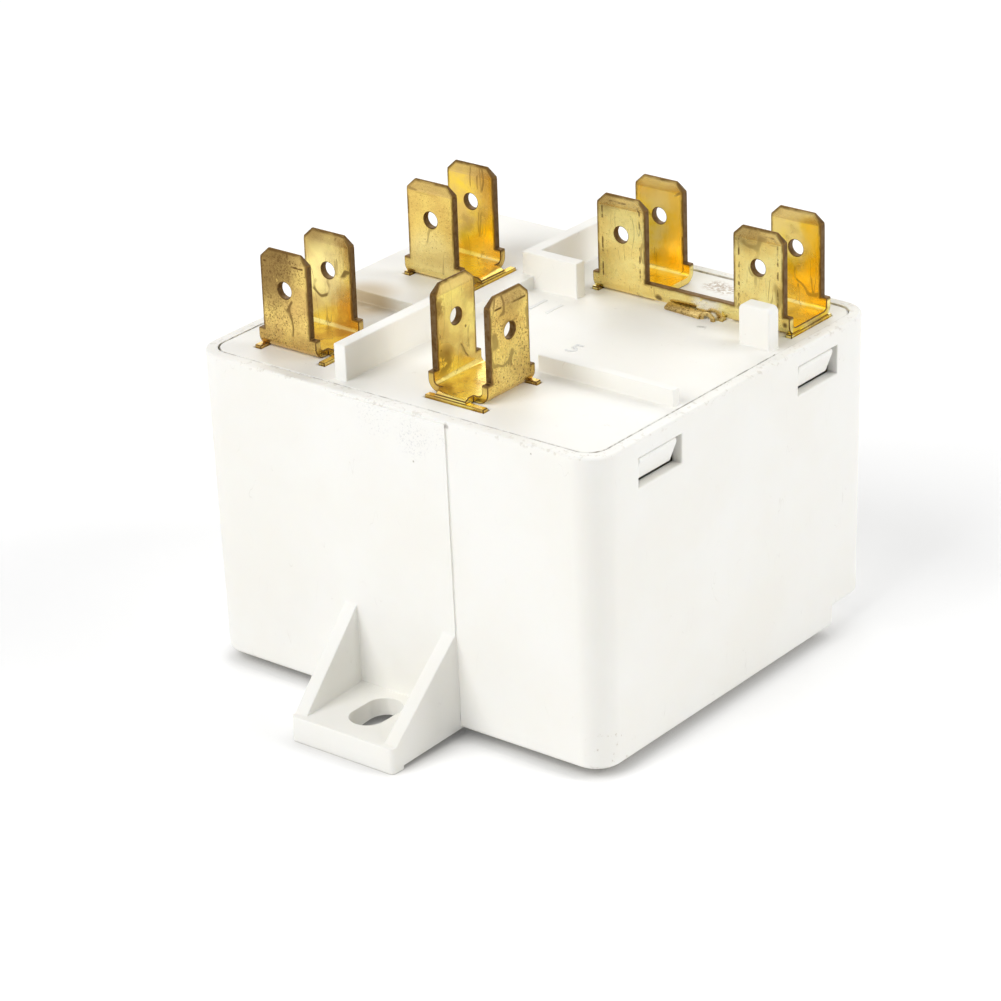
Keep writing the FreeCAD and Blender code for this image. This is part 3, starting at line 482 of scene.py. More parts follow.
class Pattern:
    """The settings of an effect, in fields that are named as its inputs are."""

    effect: ClassVar[Effect]

    def draw(self, paint: Paint) -> Socket:
        """Place the effect in a material.

        Args:
            paint: The material in the making.

        Returns:
            The effect's output socket.
        """
        feeds = {name.capitalize(): value for name, value in vars(self).items()}
        return SHELF.use(paint, self.effect, {"Vector": paint.place, **feeds})


@dataclass(frozen=True)
class Clouds(Pattern):
    """Soft patches."""

    effect: ClassVar[Effect] = Effect.CLOUDS
    scale: float
    low: float = 0.35
    high: float = 0.65


@dataclass(frozen=True)
class Specks(Pattern):
    """Small round spots."""

    effect: ClassVar[Effect] = Effect.SPECKS
    scale: float
    share: float
    size: float


@dataclass(frozen=True)
class Scratches(Pattern):
    """Thin broken lines."""

    effect: ClassVar[Effect] = Effect.SCRATCHES
    stretch: Point
    scale: float
    width: float
    share: float


@dataclass(frozen=True)
class Grain(Pattern):
    """A fine relief."""

    effect: ClassVar[Effect] = Effect.GRAIN
    scale: float
    coarse: float


@dataclass(frozen=True)
class Smudge:
    """A mottled mark on a surface, in millimetres; it serves for stains and for patches of painted shade and
    painted highlight.
    """

    centre: Point
    radius: float
    cover: float = 0.5
    grain: float = 900.0
    strength: float = 0.4
    colour: Colour = (150.0, 145.0, 134.0)

    def draw(self, paint: Paint) -> Socket:
        """Place the mark in a material.

        Args:
            paint: The material in the making.

        Returns:
            The socket of how strongly it shows.
        """
        feeds = {"Vector": paint.place, "Centre": metres(self.centre), "Radius": self.radius * MM,
                 "Scale": self.grain, "Cover": self.cover}
        return paint.times(SHELF.use(paint, Effect.SMUDGE, feeds), self.strength)


class Finish:
    """What every finish has: a name and a material."""

    name: str

    def material(self) -> Material:
        """Build the material."""
        raise NotImplementedError


@dataclass(frozen=True)
class MouldedPlastic(Finish):
    """Satin white thermoset with fine specks, dirt in its seam, a few scuffs and the given marks, one of
    which on the cover is painted shade.
    """

    name: str
    colour: Colour = (249.0, 248.0, 243.0)
    shade: Colour = (247.0, 245.0, 238.0)
    speck: Colour = (128.0, 108.0, 84.0)
    dirt: Colour = (96.0, 80.0, 58.0)
    wear: Colour = (170.0, 156.0, 132.0)
    roughness: float = 0.42
    sheen_gain: float = 0.08
    speck_gain: float = 0.55
    nick_gain: float = 0.1
    dirt_gain: float = 0.8
    dirt_least: float = 0.25
    tone: Clouds = Clouds(70.0, high=0.7)
    specks: Specks = Specks(330.0, 0.16, 0.042)
    nicks: Scratches = Scratches((1.0, 1.0, 0.3), 420.0, 0.004, 0.42)
    breaks: Clouds = Clouds(800.0, 0.4, 0.62)
    worn: Clouds = Clouds(1500.0, 0.56, 0.66)
    sheen: Clouds = Clouds(240.0, 0.3, 0.7)
    grain: Grain = Grain(2600.0, 2.0)
    grain_depth: float = 0.006
    seam_half: Point = (25.03, 23.13, 0.0)
    seam_radius: float = 2.3
    seam_reach: float = 0.16
    seam_rise: Rise = (33.6, 33.9)
    rim_rise: Rise = (35.2, 35.7)
    rim_trace: float = 0.0
    smudges: tuple[Smudge, ...] = ()

    def material(self) -> Material:
        """Build the material.

        Returns:
            The white plastic.
        """
        paint = Paint(self.name)
        paint.cover(self.tone.draw(paint), self.colour, self.shade)
        paint.tint(paint.times(self.specks.draw(paint), self.speck_gain), self.speck)
        paint.tint(paint.times(self.nicks.draw(paint), self.nick_gain), self.speck)
        height = paint.split(paint.place)[2]
        feeds = {"Vector": paint.place, "Half": metres(self.seam_half), "Radius": self.seam_radius * MM,
                 "Reach": self.seam_reach * MM}
        seam = paint.times(SHELF.use(paint, Effect.SEAM, feeds), paint.rise(height, self.seam_rise))
        dirt = paint.times(seam, paint.plus(self.breaks.draw(paint), self.dirt_least))
        paint.tint(paint.sums("MULTIPLY", dirt, self.dirt_gain, clamp=True), self.dirt)
        if self.rim_trace > 0.0:
            band = paint.rise(height, self.rim_rise)
            paint.tint(paint.times(band, self.worn.draw(paint), self.rim_trace), self.wear)
        # Given marks: scuffs and stains on the case; on the cover, stains and one patch of painted shade.
        for mark in self.smudges:
            paint.tint(mark.draw(paint), mark.colour)
        rough = paint.plus(self.roughness, paint.times(self.sheen.draw(paint), self.sheen_gain))
        return paint.done(rough, self.grain.draw(paint), self.grain_depth, IOR=1.5, Subsurface_Weight=0.1,
                          Subsurface_Radius=(1.0, 0.8, 0.55), Subsurface_Scale=0.8 * MM)


@dataclass(frozen=True)
class TabFrame:
    """Where a terminal's tabs stand, in millimetres."""

    centre: tuple[float, float]
    tip: float = 47.09
    across: int = 0
    spread: float = 0.0
    half_width: float = 3.175
    outer: float = 3.865
    inner: float = 3.065
    cut_corner: float = 1.0
    shoulder: float = 38.0


@dataclass(frozen=True)
class TabBrass(Finish):
    """Stamped brass with speckled outer faces, tide marks and a coined tip; its inner faces carry a painted
    reflection tint, given patches carry painted highlights, and its sheared edges are dark from oxide and
    painted shade.
    """

    name: str
    tabs: TabFrame
    fresh: Colour = (240.0, 209.0, 114.0)
    dull: Colour = (224.0, 188.0, 102.0)
    stain: Colour = (98.0, 70.0, 34.0)
    # Colour of the sheared side faces, mixed with the stain: partly oxide on the rough cut, partly painted
    # shade of the darker surroundings these faces mirror.
    cut: Colour = (122.0, 98.0, 66.0)
    tip: Colour = (204.0, 172.0, 110.0)
    # Tint of the inner faces: painted reflection of brass on brass between facing tabs.
    inner: Colour = (250.0, 212.0, 58.0)
    roughness: float = 0.24
    dirt_roughness: float = 0.3
    speck_share: float = 0.5
    speck_gain: float = 0.85
    mottle_gain: float = 0.5
    rare_gain: float = 0.7
    tarnish: float = 0.5
    tip_line: float = 0.6
    tip_share: float = 0.55
    inset_line: float = 0.0
    tide_line: float = 0.45
    scratch_line: float = 0.4
    outline_line: float = 0.45
    outline_least: float = 0.38
    outer_cloud: float = 0.12
    inner_cloud: float = 0.4
    tone: Clouds = Clouds(260.0, 0.36, 0.64)
    patchy: Clouds = Clouds(300.0, 0.2, 0.6)
    mottle: Clouds = Clouds(4300.0, 0.4, 0.72)
    rare: Specks = Specks(520.0, 0.16, 0.1)
    cloud: Clouds = Clouds(230.0, 0.5, 0.72)
    torn: Clouds = Clouds(1700.0, high=0.75)
    breaks: Clouds = Clouds(620.0, 0.36, 0.58)
    dashes: Clouds = Clouds(1100.0, 0.45, 0.6)
    tide: Scratches = Scratches((1.0, 1.0, 0.7), 170.0, 0.02, 0.56)
    scratch: Scratches = Scratches((1.0, 1.0, 0.12), 620.0, 0.014, 0.52)
    rolled: Scratches = Scratches((1.0, 1.0, 0.05), 900.0, 0.2, 0.9)
    rolled_gain: float = 0.2
    pitted: Grain = Grain(1500.0, 1.5)
    pit_depth: float = 0.014
    coined_rise: Rise = (1.32, 1.24)
    coined_line: float = 1.4
    coined_reach: Rise = (0.17, 0.05)
    within_rise: Rise = (0.35, 0.6)
    outline_rise: Rise = (0.42, 0.12)
    inset: float = 0.72
    inset_reach: Rise = (0.16, 0.05)
    edge_turn: Rise = (0.7, 0.45)
    # Patches laid before the dark marks: painted highlights and painted reflection where pale, tarnish where
    # olive or brown.
    washed: tuple[Smudge, ...] = ()
    smudges: tuple[Smudge, ...] = ()

    def material(self) -> Material:
        """Build the material.

        Returns:
            The tarnished brass.
        """
        paint = Paint(self.name)
        tabs = self.tabs
        across, facing = tabs.across, 1 - tabs.across
        parts = paint.split(paint.place)
        turns = paint.split(paint.put("ShaderNodeNewGeometry", {}).outputs["Normal"])
        tone = self.tone.draw(paint)
        paint.cover(tone, self.fresh, self.dull)
        from_middle = paint.apart(parts[facing], tabs.centre[facing] * MM)
        outside = paint.rise(from_middle, (tabs.outer - 0.3, tabs.outer - 0.05))
        within = paint.rise(from_middle, (tabs.inner + 0.3, tabs.inner + 0.05))
        # Painted reflection: the inner faces take the inner tint, as brass facing brass would look.
        paint.tint(within, paint.blend(tone, linear(self.inner), paint.base))
        feeds = {"Across": parts[across], "Height": parts[2], "Middle": tabs.centre[across] * MM,
                 "Spread": tabs.spread * MM, "Width": tabs.half_width * MM, "Tip": tabs.tip * MM,
                 "Cut": tabs.cut_corner * MM}
        edge = SHELF.use(paint, Effect.BLADE_EDGE, feeds)
        raised = paint.rise(parts[2], (tabs.shoulder - 0.4, tabs.shoulder))
        below = paint.minus(tabs.tip * MM, parts[2])
        dark = paint.most(self.speckle(paint, outside), self.lines(paint, below, edge, raised, outside),
                          *(mark.draw(paint) for mark in self.smudges))
        coined = paint.times(paint.rise(below, self.coined_rise), raised)
        paint.tint(paint.times(coined, self.tip_share), self.tip)
        # Painted highlights and tarnish patches, laid before the dark marks.
        for mark in self.washed:
            paint.tint(mark.draw(paint), mark.colour)
        paint.tint(dark, self.stain)
        # Sheared side faces darkened: partly oxide, partly painted shade.
        sheared = paint.times(paint.step(paint.sums("ABSOLUTE", turns[facing]), *self.edge_turn), raised)
        paint.tint(sheared, paint.blend(self.torn.draw(paint), linear(self.cut), linear(self.stain)))
        rough = paint.plus(self.roughness, paint.times(paint.most(dark, sheared), self.dirt_roughness))
        relief = paint.minus(self.pitted.draw(paint), paint.times(self.rolled.draw(paint), self.rolled_gain))
        return paint.done(rough, relief, self.pit_depth, Metallic=1.0)

    def speckle(self, paint: Paint, outside: Socket) -> Socket:
        """Speckle the outer faces and stain the inner ones a little.

        Args:
            paint: The material in the making.
            outside: The mask of the outer faces.

        Returns:
            How dark the specks and stains are.
        """
        fine = Specks(3400.0, self.speck_share, 0.42)
        fine = paint.most(paint.times(fine.draw(paint), self.speck_gain),
                          paint.times(self.mottle.draw(paint), self.mottle_gain))
        fine = paint.times(fine, self.patchy.draw(paint), paint.times(outside, self.tarnish))
        less = paint.times(outside, self.inner_cloud - self.outer_cloud)
        cloud = paint.times(self.cloud.draw(paint), paint.minus(self.inner_cloud, less))
        return paint.most(fine, paint.times(self.rare.draw(paint), self.rare_gain), cloud)

    def lines(self, paint: Paint, below: Socket, edge: Socket, raised: Socket, outside: Socket) -> Socket:
        """Draw the tide marks, the dark outline, the line under the coined tip and the scratches.

        Args:
            paint: The material in the making.
            below: The distance below the tip.
            edge: The distance from the tab's outline.
            raised: The mask of all above the shoulders.
            outside: The mask of the outer faces.

        Returns:
            How dark the lines are.
        """
        breaks = self.breaks.draw(paint)
        outline = paint.times(paint.rise(edge, self.outline_rise), raised,
                              paint.plus(paint.times(breaks, self.outline_line), self.outline_least))
        coined = paint.rise(paint.apart(below, self.coined_line * MM), self.coined_reach)
        coined = paint.times(coined, paint.rise(edge, self.within_rise), paint.times(breaks, outside))
        inset = paint.rise(paint.apart(edge, self.inset * MM), self.inset_reach)
        inset = paint.times(inset, self.dashes.draw(paint), paint.times(raised, outside))
        return paint.most(outline, paint.times(coined, self.tip_line), paint.times(inset, self.inset_line),
                          paint.times(self.tide.draw(paint), raised, self.tide_line),
                          paint.times(self.scratch.draw(paint), self.scratch_line))


@dataclass(frozen=True)
class WorkedMetal(Finish):
    """Hidden metal: plated, drawn or rolled, with stains and fine lines."""

    name: str
    colour: Colour
    stain: Colour
    roughness: float = 0.35
    spots: float = 0.25
    tone: Clouds = Clouds(320.0, high=0.75)
    tone_gain: float = 0.5
    tone_roughness: float = 0.15
    lines: Scratches = Scratches((1.0, 1.0, 0.2), 700.0, 0.015, 0.6)
    line_gain: float = 0.4
    spot_gain: float = 0.6
    grain: Grain = Grain(1800.0, 1.0)

    def material(self) -> Material:
        """Build the material.

        Returns:
            The metal.
        """
        paint = Paint(self.name)
        tone = self.tone.draw(paint)
        paint.cover(paint.times(tone, self.tone_gain), self.colour, self.stain)
        specks = Specks(700.0, self.spots, 0.15)
        paint.tint(paint.most(paint.times(specks.draw(paint), self.spot_gain),
                              paint.times(self.lines.draw(paint), self.line_gain)), self.stain)
        rough = paint.plus(self.roughness, paint.times(tone, self.tone_roughness))
        return paint.done(rough, self.grain.draw(paint), 0.004, Metallic=1.0)


@dataclass(frozen=True)
class WoundWire(Finish):
    """Enamelled wire laid in level turns round an upright axis, with painted shade in the grooves between
    turns.
    """

    name: str
    colour: Colour = (158.0, 82.0, 38.0)
    light: Colour = (176.0, 98.0, 50.0)
    # Dark brown in the grooves between turns: painted shade.
    gap: Colour = (70.0, 30.0, 14.0)
    pitch: float = 0.24
    drift: Clouds = Clouds(150.0, 0.2, 0.8)
    drift_turn: float = 1.2

    def material(self) -> Material:
        """Build the material.

        Returns:
            The winding.
        """
        paint = Paint(self.name)
        drift = self.drift.draw(paint)
        phase = paint.times(paint.split(paint.place)[2], math.tau / (self.pitch * MM))
        turn = paint.sums("SINE", paint.plus(phase, paint.times(drift, self.drift_turn)))
        crown = paint.plus(paint.times(turn, 0.5), 0.5)
        # The grooves between turns take the dark brown as painted shade; the crowns take the wire's colour.
        paint.base = linear(self.gap)
        paint.tint(crown, paint.blend(drift, linear(self.colour), linear(self.light)))
        rough = paint.minus(0.5, paint.times(crown, 0.2))
        return paint.done(rough, crown, 0.05, Metallic=0.6, Coat_Weight=0.6, Coat_Roughness=0.15)


@dataclass(frozen=True)
class InnerPolymer(Finish):
    """Moulded, woven or film insulation inside the relay."""

    name: str
    colour: Colour
    shade: Colour
    roughness: float = 0.5
    coat: float = 0.0
    weave: float = 0.0
    tone: Clouds = Clouds(240.0)
    tone_roughness: float = 0.1
    fibre: Scratches = Scratches((1.0, 0.4, 1.0), 900.0, 0.03, 0.55)
    fibre_gain: float = 0.3
    grain: Grain = Grain(2200.0, 1.0)

    def material(self) -> Material:
        """Build the material.

        Returns:
            The insulation.
        """
        paint = Paint(self.name)
        tone = self.tone.draw(paint)
        paint.cover(tone, self.colour, self.shade)
        paint.tint(paint.times(self.fibre.draw(paint), self.fibre_gain), self.shade)
        relief = self.grain.draw(paint)
        if self.weave > 0.0:
            parts = paint.split(paint.place)
            rate = math.tau / (self.weave * MM)
            across = paint.sums("SINE", paint.times(paint.plus(parts[0], parts[2]), rate))
            along = paint.sums("SINE", paint.times(paint.minus(parts[1], parts[2]), rate))
            relief = paint.plus(relief, paint.times(across, along))
        rough = paint.plus(self.roughness, paint.times(tone, self.tone_roughness))
        return paint.done(rough, relief, 0.01, Coat_Weight=self.coat)


def packed(node: str) -> bpy.types.Object:
    """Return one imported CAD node."""
    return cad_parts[node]


def finished(name: str, mesh: BMesh, material: Material, round_mm: float = 0.0,
             worn: Optional[Material] = None) -> bpy.types.Object:
    """Turn a bmesh into a piece that rides on the relay's body.

    Args:
        name: The piece's name.
        mesh: Its finished bmesh, which is freed.
        material: Its material.
        round_mm: The full round of its weighed edges, or 0 for none.
        worn: The material of the rounds, or none for the piece's own.

    Returns:
        The new object.
    """
    data = bpy.data.meshes.new(name)
    mesh.to_mesh(data)
    mesh.free()
    data.polygons.foreach_set("use_smooth", [True] * len(data.polygons))
    data.set_sharp_from_angle(angle=math.radians(SMOOTH_DEGREES))
    data.materials.append(material)
    piece = bpy.data.objects.new(name, data)
    bpy.context.scene.collection.objects.link(piece)
    if round_mm > 0.0:
        rounds = piece.modifiers.new("rounds", "BEVEL")
        rounds.limit_method = "WEIGHT"
        rounds.offset_type = "OFFSET"
        rounds.width = round_mm * MM
        rounds.segments = 3
        rounds.use_clamp_overlap = False
        if worn is not None:
            data.materials.append(worn)
            rounds.material = 1
    even = piece.modifiers.new("even_normals", "WEIGHTED_NORMAL")
    even.keep_sharp = True
    even.weight = 100
    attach(piece, "root")
    return piece


@dataclass
class SoftenedSolid:
    """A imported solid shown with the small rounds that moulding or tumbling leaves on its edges."""

    node: str
    slot: str
    round_mm: float
    sharp_degrees: float = 30.0
    flat_degrees: float = 0.8
    room_share: float = 0.38
    spots: tuple[float, ...] = (0.08, 0.5, 0.92)
    farthest: float = 1.0

    def copy(self) -> BMesh:
        """Copy the node's mesh with its triangles joined into whole faces.

        Returns:
            The merged bmesh.
        """
        mesh = bmesh.new()
        mesh.from_mesh(packed(self.node).data)
        bmesh.ops.remove_doubles(mesh, verts=mesh.verts, dist=JOINED)
        bmesh.ops.dissolve_limit(mesh, angle_limit=math.radians(self.flat_degrees / 2), verts=mesh.verts,
                                 edges=mesh.edges, use_dissolve_boundaries=False)
        return mesh

    def flats(self, mesh: BMesh) -> dict[bmesh.types.BMFace, int]:
        """Number the flat areas of the mesh.

        Args:
            mesh: The merged bmesh.

        Returns:
            The number of the flat area that each face belongs to.
        """
        areas: dict[bmesh.types.BMFace, int] = {}
        for seed in mesh.faces:
            if seed in areas:
                continue
            areas[seed] = seed.index
            reach = [seed]
            while reach:
                for edge in reach.pop().edges:
                    if not edge.is_manifold or edge.calc_face_angle(0.0) > math.radians(self.flat_degrees):
                        continue
                    for other in edge.link_faces:
                        if other not in areas:
                            areas[other] = seed.index
                            reach.append(other)
        return areas

    def room(self, loop: bmesh.types.BMLoop, rims: list[tuple[Vector, Vector]]) -> float:
        """Measure how far a flat area goes on beside one of its edges.

        Args:
            loop: The edge's loop in a face of the area.
            rims: The ends of each edge round the area.

        Returns:
            The shortest way over the area to the next edge, in metres.
        """
        start = loop.vert.co
        along = loop.link_loop_next.vert.co - start
        length = along.length
        along = along / length
        inward = loop.face.normal.cross(along)
        least = self.farthest
        for first, last in rims:
            from_edge = (first - start).dot(inward), (last - start).dot(inward)
            on_edge = (first - start).dot(along), (last - start).dot(along)
            run = on_edge[1] - on_edge[0]
            for spot in (share * length for share in self.spots):
                if (on_edge[0] - spot) * (on_edge[1] - spot) > 0.0 or abs(run) < LEAST_GAP * 0.01:
                    continue
                away = from_edge[0] + (spot - on_edge[0]) / run * (from_edge[1] - from_edge[0])
                if away > LEAST_GAP:
                    least = min(least, away)
        return least

    def weigh(self, mesh: BMesh) -> None:
        """Give each sharp edge the share of the full round that its faces have room for.

        Args:
            mesh: The merged bmesh.
        """
        mesh.faces.index_update()
        mesh.normal_update()
        weight = mesh.edges.layers.float.new("bevel_weight_edge")
        limit = math.radians(self.sharp_degrees)
        sharp = [edge for edge in mesh.edges if edge.is_manifold and edge.calc_face_angle(0.0) > limit]
        areas = self.flats(mesh)
        rims: dict[int, list[tuple[Vector, Vector]]] = {}
        for edge in mesh.edges:
            around = {areas[face] for face in edge.link_faces}
            if len(around) > 1:
                for area in around:
                    rims.setdefault(area, []).append((edge.verts[0].co, edge.verts[1].co))
        for edge in sharp:
            least = min(self.room(loop, rims[areas[loop.face]]) for loop in edge.link_loops)
            edge[weight] = min(1.0, self.room_share * least / (self.round_mm * MM))
        self.even_out(mesh, weight)

    def even_out(self, mesh: BMesh, weight: bmesh.types.BMLayerItem) -> None:
        """Give the edges that follow each other round a curve one common weight.

        Args:
            mesh: The merged bmesh.
            weight: The layer of the weights.
        """
        changed = True
        while changed:
            changed = False
            for vert in mesh.verts:
                chain = [edge for edge in vert.link_edges if edge[weight] > 0.0]
                if len(chain) != 2:
                    continue
                least = min(edge[weight] for edge in chain)
                for edge in chain:
                    if edge[weight] > least:
                        edge[weight] = least
                        changed = True

    def shape(self, mesh: BMesh) -> None:
        """Leave the merged mesh as it is; a terminal coins its tips here."""

    def build(self, material: Material, worn: Optional[Material] = None) -> None:
        """Make the piece and let it stand for its node.

        Args:
            material: The piece's material.
            worn: The material of its rounded edges, or none for the piece's own.
        """
        mesh = self.copy()
        self.shape(mesh)
        self.weigh(mesh)
        piece = finished(self.node + "_skin", mesh, material, self.round_mm, worn)
        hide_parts(self.node)
        LOG.info("%s: %d faces before its rounds", piece.name, len(piece.data.polygons))


@dataclass
class Housing:
    """The case and the terminal cover clipped into it, with the marks that handling left on them and a patch
    of painted shade on the cover behind the front-left terminal.
    """

    case_round: float = 0.14
    cover_round: float = 0.16
    rim_trace: float = 0.24
    scuffs: tuple[Smudge, ...] = (
        Smudge((-1.6, -24.4, 34.4), 3.4, 0.5, 3400.0, 0.3, (190.0, 190.0, 192.0)),
        Smudge((3.4, -24.4, 33.0), 3.0, 0.55, 3600.0, 0.34, (182.0, 182.0, 186.0)),
        Smudge((6.6, -24.4, 33.8), 1.8, 0.5, 3200.0, 0.3, (190.0, 190.0, 192.0)),
        Smudge((7.75, -24.6, 35.3), 0.32, 0.95, 500.0, 0.5, (120.0, 110.0, 94.0)),
        Smudge((-15.8, -24.2, 8.0), 2.4, 0.3, 700.0, 0.25),
        Smudge((26.0, -22.0, 3.0), 4.0, 0.42, 1100.0, 0.5, (168.0, 150.0, 122.0)),
        Smudge((23.0, -24.0, 6.0), 3.0, 0.3, 1300.0, 0.35, (168.0, 150.0, 122.0)),
    )
    marks: tuple[Smudge, ...] = (
        Smudge((14.2, 10.1, 35.7), 0.8, 0.6, 1400.0, 0.6),
        Smudge((8.6, 20.7, 35.8), 1.9, 0.7, 2600.0, 0.65, (168.0, 142.0, 108.0)),
        Smudge((10.3, 20.3, 35.8), 1.8, 0.7, 2600.0, 0.65, (168.0, 142.0, 108.0)),
        # Painted shade: a warm tan patch laid on the cover's colour where the bay behind the front-left
        # terminal lies in shade.
        Smudge((-19.4, -4.7, 35.9), 5.0, 1.0, 60.0, 0.8, (192.0, 170.0, 128.0)),
    )

    def build(self) -> None:
        """Build and dress both mouldings."""
        case_white = MouldedPlastic("case_white", smudges=self.scuffs, rim_trace=self.rim_trace)
        SoftenedSolid("case", "case_plastic", self.case_round).build(case_white.material())
        cover_white = MouldedPlastic("cover_white", smudges=self.marks)
        SoftenedSolid("cover", "cover_plastic", self.cover_round).build(cover_white.material())


@dataclass
class TabTerminal(SoftenedSolid):
    """A brass terminal whose tab tips are coined to a lead-in."""

    tabs: TabFrame = TabFrame((0.0, 0.0))
    coined_mm: float = 1.35
    thinned_mm: float = 0.2

    def shape(self, mesh: BMesh) -> None:
        """Thin each tab towards its tip.

        Args:
            mesh: The merged bmesh.
        """
        start = (self.tabs.tip - self.coined_mm) * MM
        bmesh.ops.bisect_plane(mesh, geom=mesh.verts[:] + mesh.edges[:] + mesh.faces[:], dist=1e-8,
                               plane_co=(0.0, 0.0, start), plane_no=(0.0, 0.0, 1.0))
        facing = 1 - self.tabs.across
        middle = self.tabs.centre[facing] * MM
        blade = (self.tabs.outer + self.tabs.inner) / 2 * MM
        half = (self.tabs.outer - self.tabs.inner) / 2 * MM
        for vert in mesh.verts:
            rise = (vert.co.z - start) / (self.coined_mm * MM)
            if rise <= 0.0:
                continue
            side = math.copysign(1.0, vert.co[facing] - middle)
            depth = (vert.co[facing] - middle - side * blade) / half
            push = [0.0, 0.0, 0.0]
            push[facing] = -depth * rise * self.thinned_mm * MM
            bmesh.ops.translate(mesh, verts=[vert], vec=push)


@dataclass(frozen=True)
class Digit:
    """A plain number moulded on the cover, in millimetres."""

    text: str
    left: float
    foot: float
    height: float


@dataclass
class CoverNumbers:
    """The faint position numbers moulded on the cover, tinted grey as painted shade of their relief."""

    digits: tuple[Digit, ...] = (Digit("1", -4.1, 4.05, 2.95), Digit("1", -1.8, 4.05, 2.75),
                                 Digit("5", 6.25, -3.2, 2.1))
    # Grey that stands in for the shading of the raised strokes: painted shade.
    colour: Colour = (238.0, 238.0, 235.0)
    shade: Colour = (224.0, 224.0, 221.0)
    top: float = 35.84
    raised: float = 0.09
    drawn_depth: float = 0.02

    def outline(self, digit: Digit) -> bpy.types.Mesh:
        """Turn one digit into a solid of its real size at its real place.

        Args:
            digit: The digit.

        Returns:
            Its mesh.
        """
        curve = bpy.data.curves.new("digit", "FONT")
        curve.body = digit.text
        curve.extrude = self.drawn_depth
        writing = bpy.data.objects.new("digit", curve)
        bpy.context.scene.collection.objects.link(writing)
        mesh = bmesh.new()
        mesh.from_mesh(writing.evaluated_get(bpy.context.evaluated_depsgraph_get()).to_mesh())
        bpy.data.objects.remove(writing)
        bpy.data.curves.remove(curve)
        bmesh.ops.remove_doubles(mesh, verts=mesh.verts, dist=1e-5)
        low = Vector([min(vert.co[axis] for vert in mesh.verts) for axis in range(3)])
        high = Vector([max(vert.co[axis] for vert in mesh.verts) for axis in range(3)])
        factor = digit.height * MM / (high.y - low.y)
        depth = 2.0 * self.raised * MM / (high.z - low.z)
        bmesh.ops.translate(mesh, verts=mesh.verts, vec=(-low.x, -low.y, -(low.z + high.z) / 2))
        bmesh.ops.scale(mesh, verts=mesh.verts, vec=(factor, factor, depth))
        bmesh.ops.translate(mesh, verts=mesh.verts, vec=metres((digit.left, digit.foot, self.top)))
        solid = bpy.data.meshes.new("digit")
        mesh.to_mesh(solid)
        mesh.free()
        return solid

    def build(self) -> None:
        """Join the digits to one piece on the cover."""
        whole = bmesh.new()
        for digit in self.digits:
            solid = self.outline(digit)
            whole.from_mesh(solid)
            bpy.data.meshes.remove(solid)
        painted_shade_grey = MouldedPlastic("cover_numbers", colour=self.colour, shade=self.shade)
        finished("cover_numbers", whole, painted_shade_grey.material())
        LOG.info("cover_numbers: %d digits", len(self.digits))


@dataclass
class LinkLance:
    """The small lanced tongue and its curled end in front of the common terminal's link."""

    tongue_size: Point = (4.7, 0.95, 0.4)
    tongue_place: Point = (10.35, 12.36, 36.05)
    tongue_tilt: float = 24.0
    tongue_turn: float = -4.0
    tongue_round: float = 0.09
    curl_place: Point = (13.5, 12.2, 35.75)
    curl_radius: float = 0.62
    curl_degrees: float = 215.0
    curl_tilt: float = 22.0
    curl_stretch: float = 1.2
    wire_radius: float = 0.24

    def turn(self, mesh: BMesh, verts: list[bmesh.types.BMVert], degrees: float, axis: str) -> None:
        """Turn vertices about the origin.

        Args:
            mesh: The bmesh.
            verts: The vertices.
            degrees: The angle.
            axis: X, Y or Z.
        """
        turned = Matrix.Rotation(math.radians(degrees), 3, axis)
        bmesh.ops.rotate(mesh, verts=verts, cent=ORIGIN, matrix=turned)

    def build(self, material: Material) -> None:
        """Build both as one piece of brass.

        Args:
            material: The lance's brass.
        """
        mesh = bmesh.new()
        plate = bmesh.ops.create_cube(mesh, size=1.0)["verts"]
        bmesh.ops.scale(mesh, verts=plate, vec=metres(self.tongue_size))
        self.turn(mesh, plate, self.tongue_tilt, "X")
        self.turn(mesh, plate, self.tongue_turn, "Z")
        bmesh.ops.translate(mesh, verts=plate, vec=metres(self.tongue_place))
        bmesh.ops.bevel(mesh, geom=mesh.edges[:], offset=self.tongue_round * MM, segments=3, profile=0.5,
                        affect="EDGES", material=-1)
        known = set(mesh.verts)
        thick = self.wire_radius * MM
        ring = bmesh.ops.create_circle(mesh, cap_ends=False, segments=14, radius=thick)["verts"]
        bmesh.ops.translate(mesh, verts=ring, vec=(self.curl_radius * MM, 0.0, 0.0))
        rim = [edge for edge in mesh.edges if not known.intersection(edge.verts)]
        bmesh.ops.spin(mesh, geom=ring + rim, cent=ORIGIN, axis=(0.0, -1.0, 0.0),
                       angle=math.radians(self.curl_degrees), steps=20, use_merge=False)
        bmesh.ops.holes_fill(mesh, edges=[edge for edge in mesh.edges if edge.is_boundary], sides=20)
        fresh = [vert for vert in mesh.verts if vert not in known]
        self.turn(mesh, fresh, self.curl_tilt, "Y")
        bmesh.ops.scale(mesh, verts=fresh, vec=(self.curl_stretch, 1.0, 1.0))
        bmesh.ops.translate(mesh, verts=fresh, vec=metres(self.curl_place))
        bmesh.ops.recalc_face_normals(mesh, faces=mesh.faces)
        LOG.info("link_lance: %d faces", len(mesh.faces))
        finished("link_lance", mesh, material)


OLIVE = (150.0, 122.0, 72.0)
# Pale gold of painted highlights on the tabs.
PAINTED_HIGHLIGHT = (255.0, 240.0, 170.0)
COMMON_TABS = TabFrame((10.805, 16.68), 46.94, spread=8.855, shoulder=37.8)


